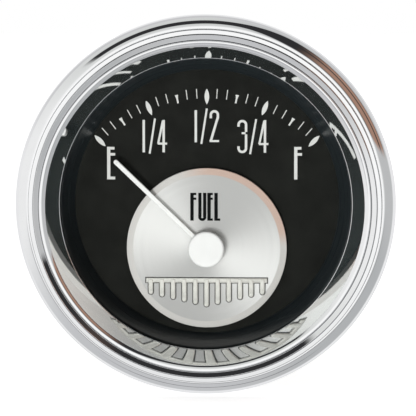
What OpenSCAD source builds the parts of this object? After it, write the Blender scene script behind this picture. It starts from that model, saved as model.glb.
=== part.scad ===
// Round electric fuel gauge with a short pointer sweep, built up from its separate pieces.
// The dial faces -Y, +Z is twelve o'clock and +Y runs back through the case.
// The origin lies on the case axis, in the plane where the bezel meets the panel.
// Each piece is drawn lying on its back with local +Z forward, and upright() stands it up.

/* [Panel] */
// Thickness of the panel that the clamp is set for
panel_t = 3; // [1.5:0.1:5]
// Radial clearance between the case and the panel hole
panel_gap = 0.3; // [0.2:0.05:0.5]

/* [Bezel] */
// Outer diameter of the bezel
bezel_d = 60.3; // [56:0.1:66]
// Reach of the bezel past the panel hole
bezel_cover = 3.15; // [3:0.05:3.4]
// Thickness of the bezel's sheet
bezel_t = 0.6; // [0.4:0.05:0.7]
// Height of the slanted ring in front of the lens
slant_h = 4.4; // [3.5:0.1:5]
// Radius of the bead around the slanted ring's front edge
bead_r = 0.65; // [0.5:0.05:0.7]
// Drop from the bead to the flat band outside it
band_drop = 0.7; // [0.4:0.05:1]
// Radius of the rolled outer edge
roll_r = 1.75; // [1.4:0.05:1.9]
// Drop from the slanted ring's front edge to the top of the rolled edge
roll_drop = 1.4; // [1:0.05:1.8]
// Width of the groove between the band and the rolled edge
groove_w = 0.25; // [0.15:0.05:0.3]
// Radius of the bezel's rear corner
rear_corner_r = 0.75; // [0.7:0.05:1]
// Width of the lip rolled in behind the case flange
rear_lip_w = 1.85; // [1.5:0.05:1.9]
// Clearance between the bezel's wall and what it holds
bezel_gap = 0.25; // [0.15:0.05:0.3]

/* [Lens and dial] */
// Thickness of the lens
lens_t = 1.6; // [1.2:0.1:1.8]
// Gap around the lens inside the bezel
lens_edge_gap = 0.65; // [0.4:0.05:0.9]
// Thickness of the lens gasket
gasket_t = 0.8; // [0.6:0.1:1]
// Depth from the lens's front face to the dial
dial_depth = 6; // [5.8:0.1:7]
// Thickness of the dial plate
dial_t = 0.8; // [0.6:0.1:1]
// Thickness of the depth ring's flange
ring_flange_t = 1.4; // [1:0.1:1.6]
// Width of the depth ring's foot on the dial
ring_foot_w = 1.6; // [1.2:0.1:2]
// Height of the centre disc's face above the dial
disc_rise = 1.2; // [1.1:0.05:1.3]
// Width of the centre disc's sloping rim
disc_rim_w = 1.05; // [0.8:0.05:1.1]
// Sheet thickness of the centre disc
disc_t = 0.35; // [0.25:0.05:0.35]

/* [Ornament] */
// Number of upright bars in the ornament
flute_n = 11; // [7:2:11]
// Height of the ornament on the disc
ornament_t = 0.35; // [0.2:0.05:0.5]

/* [Pointer] */
// Length of the pointer from its axis
pointer_l = 20.5; // [17:0.1:20.8]
// Width of the pointer
pointer_w = 0.75; // [0.5:0.05:1]
// Thickness of the pointer
pointer_t = 0.45; // [0.3:0.05:0.6]
// Angle of the pointer at rest, to the left of upright
pointer_rest = 46.2; // [40:0.1:50]
// Angle through which the pointer swings
pointer_sweep = 92.4; // [80:0.2:100]
// Gap between the centre disc and the pointer
pointer_lift = 0.7; // [0.5:0.05:0.9]
// Diameter of the pointer's shaft
staff_d = 1; // [0.8:0.05:1.2]
// Diameter of the hub cap
cap_d = 5.8; // [5:0.1:6.4]
// Height of the hub cap
cap_h = 1.95; // [1.7:0.05:2.1]
// Wall of the hub cap
cap_t = 0.45; // [0.35:0.05:0.5]
// Running clearance around the shaft
running_gap = 0.03; // [0.02:0.01:0.06]

/* [Movement] */
// Space between the dial and the winding in front of the bobbins
winding_drop = 2.4; // [2:0.1:3]
// Thickness of each winding
coil_t = 1.2; // [0.8:0.1:1.3]
// Depth of the two bobbins' core together
core_l = 10; // [9:0.2:11]
// Thickness of the rotor magnet
magnet_t = 2.6; // [2:0.1:3]
// Clearance around the rotor magnet
magnet_gap = 0.4; // [0.3:0.05:0.5]
// Diameter of the stop pin
stop_d = 0.8; // [0.6:0.05:0.9]
// Sheet thickness of the shield can
shield_t = 0.5; // [0.3:0.05:0.6]
// Thickness of the circuit board
board_t = 1.6; // [1.2:0.1:1.8]
// Diameter of the two dial screws and the two board screws
small_screw_d = 1.6; // [1.4:0.1:1.8]
// Diameter of the range resistor
resistor_d = 3.8; // [3:0.1:4]
// Length of the range resistor
resistor_l = 8; // [6:0.5:9]

/* [Case] */
// Sheet thickness of the case
case_t = 0.8; // [0.6:0.05:0.9]
// Depth of the case behind the panel
case_depth = 30; // [29:0.5:34]
// Length of the wide front part of the case that fills the panel hole
register_l = 8; // [7:0.5:12]
// Step in radius from the wide front part to the body of the case
body_step = 0.8; // [0.7:0.05:0.9]
// Wall of the ring that carries the dial
support_ring_t = 1.6; // [1.3:0.1:1.8]

/* [Terminals] */
// Diameter of the terminal studs
terminal_d = 4; // [3.5:0.1:4.2]
// Length of each terminal stud behind the case
terminal_l = 15; // [13:0.5:18]
// Free length of each terminal stud behind its nut
terminal_free = 9.3; // [7:0.1:9.5]
// Width across the flats of the terminal nuts
terminal_nut_af = 7; // [6.5:0.1:7.4]

/* [Clamp] */
// Diameter of the mounting studs and of the thread in the thumb nuts
stud_d = 4; // [3.5:0.1:4.2]
// Length of each mounting stud behind the case
stud_l = 27; // [26:0.5:32]
// Space between the case and the clamp's bar
clamp_gap = 8; // [7.5:0.1:9]
// Sheet thickness of the clamp
clamp_t = 1.6; // [1.2:0.1:1.8]
// Width of the clamp
clamp_w = 14; // [12:0.5:15]
// Clearance between the panel hole's edge and the clamp's legs
leg_gap = 0.9; // [0.6:0.05:0.9]
// Outer radius of the clamp's bends
clamp_bend_r = 3; // [2:0.1:4]
// Diameter of the thumb nuts
thumb_d = 11; // [10:0.1:12]
// Length of the thumb nuts' knurled grip
thumb_grip_l = 4.8; // [4:0.1:5.5]
// Number of flutes around each thumb nut
thumb_flutes = 24; // [18:1:28]

/* [Lamp] */
// Diameter of the lamp holder's body
lamp_d = 9.8; // [9.2:0.1:10]
// Diameter of the lamp holder's flange
lamp_flange_d = 13.6; // [13:0.1:14]
// Reach of the lamp holder's locking lugs past its body
lug_reach = 1.1; // [0.8:0.05:1.2]
// Angle that the lamp holder turns to unlock
lamp_turn = 45; // [40:1:50]
// Diameter of the lamp
bulb_d = 6.2; // [5.5:0.1:6.4]

/* [Hidden] */
$fn = 96;
// Overshoot of a cut past the face that it opens
cut = 0.5;
// Clearance around small parts fixed in their holes
fix_gap = 0.02;
// Clearance between parts that pass or turn against each other
pass_gap = 0.05;
// Clearance around loose parts
loose_gap = 0.3;
// Points along a quarter turn of a profile
arc_n = 8;

// Diameter of the panel hole that the case passes through
panel_hole_d = bezel_d - 2 * bezel_cover;
// Diameter of the slanted ring's inner edge, on the lens
lens_lip_d = 0.769486 * bezel_d;
// Diameter of the slanted ring's front edge
slant_d = 0.839138 * bezel_d;
// Inner diameter of the lens gasket
gasket_bore_d = 0.809287 * bezel_d;
// Diameter of the dial that shows inside the depth ring
window_d = 0.706468 * bezel_d;
// Diameter of the bright centre disc
disc_d = 0.427861 * bezel_d;
// Distance of the pointer's axis below the case axis
pivot_drop = 0.123549 * bezel_d;
// Distance between neighbouring bars
flute_pitch = 0.029851 * bezel_d;
// Width of each bar
flute_w = 0.013267 * bezel_d;
// Length of the middle bar
flute_l = 0.064677 * bezel_d;
// How much each bar is shorter than its inner neighbour
flute_step = 0.006633 * bezel_d;
// Distance of the ornament's level bar below the pointer's axis
ornament_drop = 0.086235 * bezel_d;
// Distance of each half winding from the shaft's axis
coil_in = 0.024876 * bezel_d;
// Width of each half winding
coil_w = 0.074627 * bezel_d;
// Half the width of the bobbins' core
core_half = 0.109453 * bezel_d;
// Width of the bobbins' corner posts
post_w = 0.059701 * bezel_d;
// Diameter of the rotor magnet
magnet_d = 0.165837 * bezel_d;
// Radius at which the stop pin travels
stop_r = 0.059701 * bezel_d;
// Inner diameter of the shield can
shield_bore_d = 0.470978 * bezel_d;
// Distance of the side terminals from the case's middle line
terminal_side_x = 0.232172 * bezel_d;
// Distance of the side terminals below the case axis
terminal_side_drop = 0.248756 * bezel_d;
// Distance of the middle terminal below the case axis
terminal_mid_drop = 0.331675 * bezel_d;
// Distance of each mounting stud from the case axis
stud_x = 0.281924 * bezel_d;
// Height of the lamp holder above the case axis
lamp_z = 0.257048 * bezel_d;

// Depth of the neck that keeps the case's flange clear of what fits over its wall
neck_d = 0.15;

// Radii and heights of the bezel, heights counted forward from the panel
bezel_r = bezel_d / 2;
wall_r = bezel_r - bezel_t;
flange_r = wall_r - bezel_gap;
lip_r = lens_lip_d / 2;
slant_r = slant_d / 2;
hole_r = panel_hole_d / 2;
case_r = hole_r - panel_gap;
case_bore_r = case_r - case_t;
body_r = case_r - body_step;
body_bore_r = body_r - case_t;
flange_h = bezel_t + case_t;
ring_h = flange_h + ring_flange_t;
gasket_h = ring_h + gasket_t;
lens_h = gasket_h + lens_t;
slant_top = lens_h + slant_h;
slant_angle = atan((slant_r - lip_r) / slant_h);
slant_skin = bezel_t / cos(slant_angle);
dial_h = lens_h - dial_depth;
dial_back = dial_h - dial_t;

// Sizes across the dial
gasket_bore_r = gasket_bore_d / 2;
window_r = window_d / 2;
disc_r = disc_d / 2;

// Heights of the pointer's parts
disc_top = dial_h + disc_rise;
blade_h = disc_top + pointer_lift;
cap_bottom = disc_top + pointer_lift / 2;
cap_top = cap_bottom + cap_h;
staff_r = staff_d / 2;
staff_hole_r = staff_r + running_gap;
hub_r = 1.5;
hub_lap = 0.4;
hub_top = cap_top - cap_t - pass_gap;

// Heights of the movement's parts, front to back
winding_gap = 0.1;
post_gap = 0.2;
outer_coil_h = dial_back - winding_drop;
inner_coil_h = outer_coil_h - coil_t - winding_gap;
core_h = inner_coil_h - coil_t;
core_back = core_h - core_l;
split_h = core_h - core_l / 2;
inner_coil_back = core_back - coil_t;
outer_coil_back = inner_coil_back - winding_gap - coil_t;
board_gap = 1.5;
board_h = outer_coil_back - board_gap;
board_back = board_h - board_t;
shield_rise = 0.6;
shield_front = outer_coil_h + shield_rise;
post_in = coil_in + coil_w + post_gap;
magnet_r = magnet_d / 2;
chamber_r = magnet_r + magnet_gap;
chamber_half = magnet_t / 2 + magnet_gap;
bush_r = 0.95;
bush_sunk = 1;
boss_rise = 0.5;
bush_rise = 0.9;
bush_back_floor = 0.45;
bush_l = 3;
bush_back_h = split_h - chamber_half - bush_l;
staff_end = bush_back_h + bush_back_floor + 0.2;
stop_slot_d = 1;
stop_sunk = 1;
stop_slot_r = stop_d / 2 + 0.1;
screw_r = small_screw_d / 2;
screw_head_lap = 0.45;
screw_head_r = screw_r + screw_head_lap;
screw_head_t = 0.7;
screw_spot = post_in + screw_r;
screw_l = 4;
shield_bore_r = shield_bore_d / 2;
shield_r = shield_bore_r + shield_t;
lead_r = 0.35;
lead_out = 1.5;
lead_y = 4;

// Heights of the rear parts
case_back = -case_depth;
case_floor = case_back + case_t;
terminal_r = terminal_d / 2;
terminal_flange_t = 1.2;
insulator_t = 1.2;
lock_washer_t = 0.8;
relief_l = 0.5;
relief_d = 0.25;
terminal_end = case_back - terminal_l;
terminal_nut_back = terminal_end + terminal_free + relief_l;
terminal_nut_front = case_back - insulator_t - lock_washer_t;
terminal_spots = [[-terminal_side_x, -terminal_side_drop], [terminal_side_x, -terminal_side_drop],
                  [0, -terminal_mid_drop]];
terminal_lap = 1.2;
spigot_r = 1.2;
spacer_lap = 1.8;
sleeve_lap = 1;
insulator_lap = 2.4;
lock_washer_lap = 1.7;

// Sizes of the clamp
stud_r = stud_d / 2;
bar_front = case_back - clamp_gap;
bar_back = bar_front - clamp_t;
leg_in = hole_r + leg_gap;
leg_out = leg_in + clamp_t;
clamp_washer_t = 0.8;
clamp_washer_lap = 2.6;
stud_head_lap = 1.8;
stud_head_t = 1.2;
thumb_front = bar_back - clamp_washer_t - pass_gap;
thumb_collar_l = 1.2;
thumb_collar_step = 1;
thumb_flute_r = 0.5;
thumb_flute_out = 0.15;

// Sizes of the lamp holder
lamp_r = lamp_d / 2;
lug_r = lamp_r + lug_reach;
lamp_hole_gap = 0.1;
lamp_hole_r = lamp_r + lamp_hole_gap;
lug_w = 2.4;
lug_t = 1;
lamp_flange_t = 1.5;
lamp_rise = 8.2;
lamp_front = case_floor + lamp_rise;
socket_floor = 2;
tab_w = 2.6;
grip_w = 4;
tab_t = 0.6;
tab_x = 2.2;
tab_l = 13;
tab_end = case_back - tab_l;
tab_free = 6;
contact_rise = 6.5;
grip_step = 2;
base_rise = 7;
base_w = 4.4;
tube_l = 6;
lug_play = 0.2;

module upright() {
    rotate([90, 0, 0]) children();
}

module on_pivot() {
    translate([0, -pivot_drop, 0]) children();
}

module at_rest_angle() {
    on_pivot() rotate([0, 0, pointer_rest]) children();
}

module on_terminals() {
    for (spot = terminal_spots)
        translate([spot[0], spot[1], 0]) children();
}

module on_stud(side) {
    translate([side * stud_x, 0, 0]) children();
}

module on_lamp() {
    translate([0, lamp_z, 0]) children();
}

// A solid cylinder from height low to height high
module rod(r, low, high, fn = $fn) {
    translate([0, 0, low]) cylinder(r = r, h = high - low, $fn = fn);
}

// A tube from height low to height high
module tube(r_out, r_in, low, high) {
    difference() {
        rod(r_out, low, high);
        rod(r_in, low - cut, high + cut);
    }
}

// A block of the given width and depth, centred in plan, from height low to height high
module block(x, y, low, high) {
    translate([-x / 2, -y / 2, low]) cube([x, y, high - low]);
}

// Points along an arc about centre c
function arc(c, r, from, to) =
    [for (i = [0 : arc_n]) let (a = from + (to - from) * i / arc_n) c + r * [cos(a), sin(a)]];

// Section of the bezel's sheet, as radius and height
module bezel_section() {
    bead_c = [slant_r + bead_r, slant_top];
    roll_top = slant_top - roll_drop;
    roll_c = [bezel_r - roll_r, roll_top - roll_r];
    band_h = slant_top - band_drop;
    corner_c = [bezel_r - rear_corner_r, rear_corner_r];
    lip_in = wall_r - rear_lip_w;
    front = concat(
        [[lip_r, lens_h]],
        arc(bead_c, bead_r, 180, 0),
        [[bead_c[0] + bead_r + 0.15, band_h]],
        [[roll_c[0] - groove_w, roll_top + 0.15]],
        [[roll_c[0] - groove_w / 2, roll_top - 0.2]],
        arc(roll_c, roll_r, 90, 0),
        arc(corner_c, rear_corner_r, 0, -90));
    back = concat(
        [[lip_in, 0], [lip_in, bezel_t], [wall_r, bezel_t]],
        arc(roll_c, roll_r - bezel_t, 0, 90),
        [[bead_c[0] + bead_r - bezel_t, band_h - bezel_t]],
        [[slant_r + slant_skin, slant_top - 0.1]],
        [[lip_r + slant_skin, lens_h]]);
    polygon(concat(front, back));
}

module bezel() {
    color("silver") upright() rotate_extrude() bezel_section();
}

module lens() {
    color("lightcyan", 0.35) upright() rod(wall_r - lens_edge_gap, gasket_h, lens_h);
}

module lens_gasket() {
    color("black") upright() tube(flange_r, gasket_bore_r, ring_h, gasket_h);
}

// The spacer that slopes in from the lens to the dial
module depth_ring() {
    collar_r = gasket_bore_r - 0.1;
    front_r = lip_r - 0.15;
    color([0.07, 0.07, 0.07]) upright() rotate_extrude() polygon([
        [window_r, dial_h],
        [window_r + ring_foot_w, dial_h],
        [front_r + ring_foot_w, flange_h],
        [flange_r, flange_h],
        [flange_r, ring_h],
        [collar_r, ring_h],
        [collar_r, gasket_h - 0.1],
        [front_r, gasket_h - 0.1]
    ]);
}

module dial_plate() {
    color([0.1, 0.1, 0.1]) upright() difference() {
        rod(case_bore_r - loose_gap, dial_back, dial_h);
        on_pivot() rod(hub_r, dial_back - cut, dial_h + cut);
        on_pivot() on_screws() rod(screw_r + pass_gap, dial_back - cut, dial_h + cut);
    }
}

// The two opposite corners of the movement that take screws
module on_screws() {
    for (side = [-1, 1])
        translate([side * screw_spot, -side * screw_spot, 0]) children();
}

module centre_disc() {
    face_r = disc_r - disc_rim_w;
    hole_r = hub_r - hub_lap;
    color([0.78, 0.77, 0.74]) upright() on_pivot() rotate_extrude() polygon([
        [hole_r, disc_top - disc_t],
        [face_r - disc_t, disc_top - disc_t],
        [disc_r - disc_t * 1.5, dial_h],
        [disc_r, dial_h],
        [face_r, disc_top],
        [hole_r, disc_top]
    ]);
}

// A plain motif of upright bars, longest in the middle, hanging from one level bar
module disc_ornament() {
    middle = (flute_n - 1) / 2;
    color([0.85, 0.85, 0.85]) upright() on_pivot() translate([0, -ornament_drop, 0]) {
        block(2 * middle * flute_pitch + 2 * flute_w, flute_w, disc_top, disc_top + ornament_t);
        for (i = [0 : flute_n - 1])
            translate([(i - middle) * flute_pitch, 0, 0]) {
                bar_l = flute_l - abs(i - middle) * flute_step;
                translate([0, -bar_l / 2, 0]) block(flute_w, bar_l, disc_top, disc_top + ornament_t);
                translate([0, -bar_l, 0]) rod(flute_w / 2, disc_top, disc_top + ornament_t, 24);
            }
    }
}

module dial_screws() {
    color("silver") upright() on_pivot() on_screws() {
        rod(screw_head_r, dial_h, dial_h + screw_head_t, 32);
        rod(screw_r, dial_h - screw_l, dial_h + screw_head_t / 2, 32);
    }
}

// The ring that carries the dial off the case's inner shoulder
module support_ring() {
    outer = case_bore_r - loose_gap;
    color("white") upright() tube(outer, outer - support_ring_t, -register_l, dial_back);
}

module pointer_blade() {
    color("white") upright() at_rest_angle() difference() {
        union() {
            translate([-pointer_w / 2, 0, blade_h]) cube([pointer_w, pointer_l - pointer_w / 2, pointer_t]);
            translate([0, pointer_l - pointer_w / 2, 0])
                rod(pointer_w / 2, blade_h, blade_h + pointer_t, 32);
            rod(hub_r + hub_lap, blade_h, blade_h + pointer_t);
        }
        rod(hub_r + fix_gap, blade_h - cut, blade_h + pointer_t + cut);
    }
}

module pointer_hub() {
    color("goldenrod") upright() on_pivot() difference() {
        union() {
            rod(hub_r + hub_lap, cap_bottom, blade_h);
            rod(hub_r, cap_bottom, hub_top);
        }
        rod(staff_r + fix_gap, disc_top, hub_top + cut);
    }
}

module hub_cap() {
    cap_r = cap_d / 2;
    edge_r = 0.7;
    color([0.9, 0.9, 0.88]) upright() at_rest_angle() difference() {
        rotate_extrude() polygon(concat(
            [[0, cap_bottom], [cap_r, cap_bottom]],
            arc([cap_r - edge_r, cap_top - edge_r], edge_r, 0, 90),
            [[0, cap_top]]));
        rod(cap_r - cap_t, cap_bottom - cut, cap_top - cap_t);
        translate([0, cap_r, 0])
            block(pointer_w + 2 * pass_gap, cap_d, cap_bottom - cut, blade_h + pointer_t + pass_gap);
    }
}

module pointer_staff() {
    color("silver") upright() on_pivot() rod(staff_r, staff_end, hub_top - pass_gap, 48);
}

module rotor_magnet() {
    color([0.25, 0.25, 0.27]) upright() at_rest_angle() difference() {
        rod(magnet_r, split_h - magnet_t / 2, split_h + magnet_t / 2);
        rod(staff_r + fix_gap, split_h - magnet_t, split_h + magnet_t);
        translate([0, stop_r, 0])
            rod(stop_d / 2 + fix_gap, split_h + magnet_t / 2 - stop_sunk, split_h + magnet_t, 32);
    }
}

// The pin that ends the pointer's swing in a curved slot of the front bobbin
module stop_pin() {
    color("silver") upright() at_rest_angle() translate([0, stop_r, 0])
        rod(stop_d / 2, split_h + magnet_t / 2 - stop_sunk, split_h + chamber_half + stop_slot_d - 0.2, 32);
}

module front_bush() {
    color("gold") upright() on_pivot()
        tube(bush_r, staff_hole_r, core_h - bush_sunk, outer_coil_h + bush_rise);
}

module rear_bush() {
    bush_top = split_h - chamber_half - 0.1;
    color("gold") upright() on_pivot() difference() {
        rod(bush_r, bush_back_h, bush_top);
        rod(staff_hole_r, bush_back_h + bush_back_floor, bush_top + cut);
    }
}

// Half of the bobbins' core with its four corner posts, between two heights
module bobbin_half(low, high, post_low, post_high) {
    block(2 * core_half, 2 * core_half, low, high);
    for (sx = [-1, 1], sy = [-1, 1])
        translate([sx * (post_in + post_w / 2), sy * (post_in + post_w / 2), 0])
            block(post_w, post_w, post_low, post_high);
}

// A curved slot that the stop pin sweeps, ending flat just past the pin at each stop
module stop_slot() {
    reach = asin(stop_slot_r / stop_r);
    rotate([0, 0, 90 + pointer_rest - pointer_sweep - reach])
        translate([0, 0, split_h]) rotate_extrude(angle = pointer_sweep + 2 * reach)
            translate([stop_r - stop_slot_r, 0])
                square([2 * stop_slot_r, chamber_half + stop_slot_d]);
}

module front_bobbin() {
    color([0.85, 0.83, 0.75]) upright() on_pivot() difference() {
        union() {
            bobbin_half(split_h, core_h, split_h, outer_coil_h + 0.3);
            for (side = [-1, 1])
                translate([side * (post_in + post_w / 2), -side * (post_in + post_w / 2), 0])
                    block(post_w, post_w, split_h, dial_back);
            rod(coil_in - winding_gap, core_h - cut, outer_coil_h + boss_rise);
        }
        rod(chamber_r, split_h - cut, split_h + chamber_half);
        rod(staff_hole_r + 0.4, split_h, core_h);
        rod(bush_r + fix_gap, core_h - bush_sunk, dial_back);
        stop_slot();
        on_screws() rod(screw_r + fix_gap, dial_h - screw_l - 0.3, dial_back + cut, 32);
    }
}

module rear_bobbin() {
    color([0.85, 0.83, 0.75]) upright() on_pivot() difference() {
        bobbin_half(core_back, split_h, board_h, split_h);
        rod(chamber_r, split_h - chamber_half, split_h + cut);
        rod(bush_r + fix_gap, bush_back_h, split_h);
        on_screws() rod(screw_r + fix_gap, board_h - cut, board_h + screw_l, 32);
        on_return_magnet() rod(1.1 + fix_gap, core_back - cut, core_back + 2.6, 32);
    }
}

module on_return_magnet() {
    translate([coil_in + coil_w / 2, coil_in + coil_w / 2, 0]) children();
}

// The small magnet that draws the pointer back to empty
module return_magnet() {
    color([0.3, 0.3, 0.32]) upright() on_pivot() on_return_magnet()
        rod(1.1, core_back + 0.1, core_back + 2.5, 32);
}

// One half winding: a flat loop around the core, on one side of the shaft
module half_winding(reach, front, back) {
    translate([coil_in, 0, 0]) difference() {
        translate([0, -reach - coil_t, back - coil_t])
            cube([coil_w, 2 * (reach + coil_t), front - back + 2 * coil_t]);
        translate([-cut, -reach, back]) cube([coil_w + 2 * cut, 2 * reach, front - back]);
    }
}

module inner_coil() {
    color([0.72, 0.35, 0.15]) upright() on_pivot()
        for (turn = [0, 180])
            rotate([0, 0, turn]) half_winding(core_half, core_h, core_back);
}

module outer_coil() {
    color([0.75, 0.4, 0.18]) upright() on_pivot()
        for (turn = [90, 270])
            rotate([0, 0, turn])
                half_winding(core_half, inner_coil_h + winding_gap, inner_coil_back - winding_gap);
}

module shield_can() {
    color("gray") upright() on_pivot() tube(shield_r, shield_bore_r, board_h, shield_front);
}

module circuit_board() {
    board_r = body_bore_r - 0.5;
    board_top = lamp_z - lug_r - 4 * loose_gap;
    color([0.2, 0.35, 0.2]) upright() difference() {
        rod(board_r, board_back, board_h);
        translate([-board_r - cut, board_top, board_back - cut])
            cube([2 * (board_r + cut), board_r, board_t + 2 * cut]);
        on_terminals() rod(spigot_r + fix_gap, board_back - cut, board_h + cut, 32);
        on_pivot() on_screws() rod(screw_r + pass_gap, board_back - cut, board_h + cut, 32);
        on_resistor_leads() rod(lead_r + fix_gap, board_back - cut, board_h + cut, 24);
    }
}

module board_screws() {
    color("silver") upright() on_pivot() on_screws() {
        rod(screw_head_r, board_back - screw_head_t, board_back, 32);
        rod(screw_r, board_back - screw_head_t / 2, board_h + screw_l - 0.3, 32);
    }
}

// Where the resistor's two leads pass through the board
module on_resistor_leads() {
    for (side = [-1, 1])
        translate([side * (resistor_l / 2 + lead_out), -lead_y, 0]) children();
}

module range_resistor() {
    axis_h = board_back - resistor_d / 2 - 0.2;
    color([0.8, 0.75, 0.6]) upright() {
        translate([-resistor_l / 2, -lead_y, axis_h]) rotate([0, 90, 0])
            cylinder(d = resistor_d, h = resistor_l);
        translate([-resistor_l / 2 - lead_out - lead_r, -lead_y, axis_h]) rotate([0, 90, 0])
            cylinder(r = lead_r, h = resistor_l + 2 * (lead_out + lead_r), $fn = 24);
        on_resistor_leads() rod(lead_r - fix_gap, axis_h, board_h, 24);
    }
}

// The drawn can, with its front flange, a step in its wall and the openings in its back
module case_can() {
    color("silver") upright() difference() {
        rotate_extrude() polygon([
            [0, case_back],
            [body_r, case_back],
            [body_r, -register_l - case_t],
            [case_r, -register_l - case_t],
            [case_r, 0],
            [case_r - neck_d, 0],
            [case_r - neck_d, bezel_t],
            [flange_r, bezel_t],
            [flange_r, flange_h],
            [case_bore_r, flange_h],
            [case_bore_r, -register_l],
            [body_bore_r, -register_l],
            [body_bore_r, case_floor],
            [0, case_floor]
        ]);
        on_terminals() rod(terminal_r + sleeve_lap + pass_gap, case_back - cut, case_floor + cut);
        for (side = [-1, 1])
            on_stud(side) rod(stud_r + fix_gap, case_back - cut, case_floor + cut);
        on_lamp() rod(lamp_hole_r, case_back - cut, case_floor + cut);
        on_lamp() rotate([0, 0, -lamp_turn])
            block(2 * (lug_r + lug_play), lug_w + 2 * lug_play, case_back - cut, case_floor + cut);
    }
}

// Flanged studs, soldered to the board by a short spigot, with a relief before the free end
module terminal_studs() {
    color("goldenrod") upright() on_terminals() difference() {
        union() {
            rod(spigot_r, board_back - cut, board_h);
            rod(terminal_r + terminal_lap, board_back - terminal_flange_t, board_back);
            rod(terminal_r, terminal_end, board_back - cut);
        }
        difference() {
            rod(terminal_r + cut, terminal_nut_back - relief_l, terminal_nut_back);
            rod(terminal_r - relief_d, terminal_end, board_back);
        }
    }
}

module stud_spacers() {
    low = case_floor;
    color("ivory") upright() on_terminals() difference() {
        union() {
            rod(terminal_r + spacer_lap, low, board_back - terminal_flange_t);
            rod(terminal_r + sleeve_lap, case_back, low + cut);
        }
        rod(terminal_r + pass_gap, case_back - cut, board_back);
    }
}

module insulating_washers() {
    color("dimgray") upright() on_terminals()
        tube(terminal_r + insulator_lap, terminal_r + pass_gap, case_back - insulator_t, case_back);
}

module terminal_lock_washers() {
    front = case_back - insulator_t;
    color("silver") upright() on_terminals()
        tube(terminal_r + lock_washer_lap, terminal_r + pass_gap, terminal_nut_front, front);
}

module terminal_nuts() {
    color("goldenrod") upright() on_terminals() difference() {
        rod(terminal_nut_af / 2 / cos(30), terminal_nut_back, terminal_nut_front, 6);
        rod(terminal_r + fix_gap, terminal_nut_back - cut, terminal_nut_front + cut);
    }
}

module mounting_studs() {
    color("silver") upright()
        for (side = [-1, 1])
            on_stud(side) {
                rod(stud_r + stud_head_lap, case_floor, case_floor + stud_head_t);
                rod(stud_r, case_back - stud_l, case_floor + stud_head_t / 2);
            }
}

// Outline of the clamp from its side, with rounded bends
module clamp_section(x, low, r) {
    polygon(concat(
        [[x, -panel_t], [-x, -panel_t]],
        arc([-x + r, low + r], r, 180, 270),
        arc([x - r, low + r], r, 270, 360)));
}

module clamp_bracket() {
    color("silver") upright() difference() {
        translate([0, clamp_w / 2, 0]) rotate([90, 0, 0]) linear_extrude(height = clamp_w)
            difference() {
                clamp_section(leg_out, bar_back, clamp_bend_r);
                translate([0, 2 * cut]) clamp_section(leg_in, bar_front - 2 * cut, clamp_bend_r - clamp_t);
            }
        for (side = [-1, 1])
            on_stud(side) rod(stud_r + loose_gap, bar_back - cut, bar_front + cut);
    }
}

module clamp_washers() {
    color("silver") upright()
        for (side = [-1, 1])
            on_stud(side)
                tube(stud_r + clamp_washer_lap, stud_r + loose_gap, bar_back - clamp_washer_t, bar_back);
}

module thumb_nut(side) {
    grip_r = thumb_d / 2;
    back = thumb_front - thumb_collar_l - thumb_grip_l;
    color("goldenrod") upright() on_stud(side) difference() {
        union() {
            rod(grip_r - thumb_collar_step, thumb_front - thumb_collar_l - cut, thumb_front);
            rod(grip_r, back, thumb_front - thumb_collar_l);
        }
        rod(stud_r + pass_gap, back - cut, thumb_front + cut);
        for (i = [1 : thumb_flutes])
            rotate([0, 0, i * 360 / thumb_flutes]) translate([grip_r + thumb_flute_out, 0, 0])
                rod(thumb_flute_r, back - cut, thumb_front - thumb_collar_l + cut / 2, 16);
    }
}

module thumb_nut_left() {
    thumb_nut(-1);
}

module thumb_nut_right() {
    thumb_nut(1);
}

module lamp_holder() {
    socket_r = bulb_d / 2 + lamp_hole_gap;
    color("white") upright() on_lamp() difference() {
        union() {
            rod(lamp_r, case_back - 2 * pass_gap, lamp_front);
            rod(lamp_flange_d / 2, case_back - pass_gap - lamp_flange_t, case_back - pass_gap);
            block(2 * lug_r, lug_w, case_floor + pass_gap, case_floor + pass_gap + lug_t);
            block(lamp_flange_d - grip_step, grip_w, tab_end + tab_free, case_back - lamp_flange_t);
        }
        rod(socket_r, case_floor + socket_floor, lamp_front + cut);
        for (side = [-1, 1])
            translate([side * tab_x, 0, 0])
                block(tab_t + 2 * pass_gap, tab_w + 2 * pass_gap, tab_end, case_floor + socket_floor + cut);
    }
}

module lamp_contacts() {
    color("goldenrod") upright() on_lamp()
        for (side = [-1, 1])
            translate([side * tab_x, 0, 0]) block(tab_t, tab_w, tab_end, case_floor + contact_rise);
}

module lamp_bulb() {
    base_t = 2 * (tab_x - tab_t / 2 - pass_gap);
    bulb_r = bulb_d / 2;
    neck_h = case_floor + base_rise;
    color("lightyellow", 0.5) upright() on_lamp() {
        block(base_t, base_w, case_floor + socket_floor + lamp_hole_gap, neck_h);
        rod(bulb_r, neck_h - lug_play, neck_h + tube_l);
        translate([0, 0, neck_h + tube_l]) intersection() {
            sphere(r = bulb_r);
            rod(bulb_r, 0, bulb_r + cut);
        }
    }
}

bezel();
lens();
lens_gasket();
depth_ring();
dial_plate();
centre_disc();
disc_ornament();
dial_screws();
support_ring();
pointer_blade();
pointer_hub();
hub_cap();
pointer_staff();
rotor_magnet();
stop_pin();
front_bush();
rear_bush();
front_bobbin();
rear_bobbin();
inner_coil();
outer_coil();
return_magnet();
shield_can();
circuit_board();
board_screws();
range_resistor();
case_can();
terminal_studs();
stud_spacers();
insulating_washers();
terminal_lock_washers();
terminal_nuts();
mounting_studs();
clamp_bracket();
clamp_washers();
thumb_nut_left();
thumb_nut_right();
lamp_holder();
lamp_contacts();
lamp_bulb();
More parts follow.
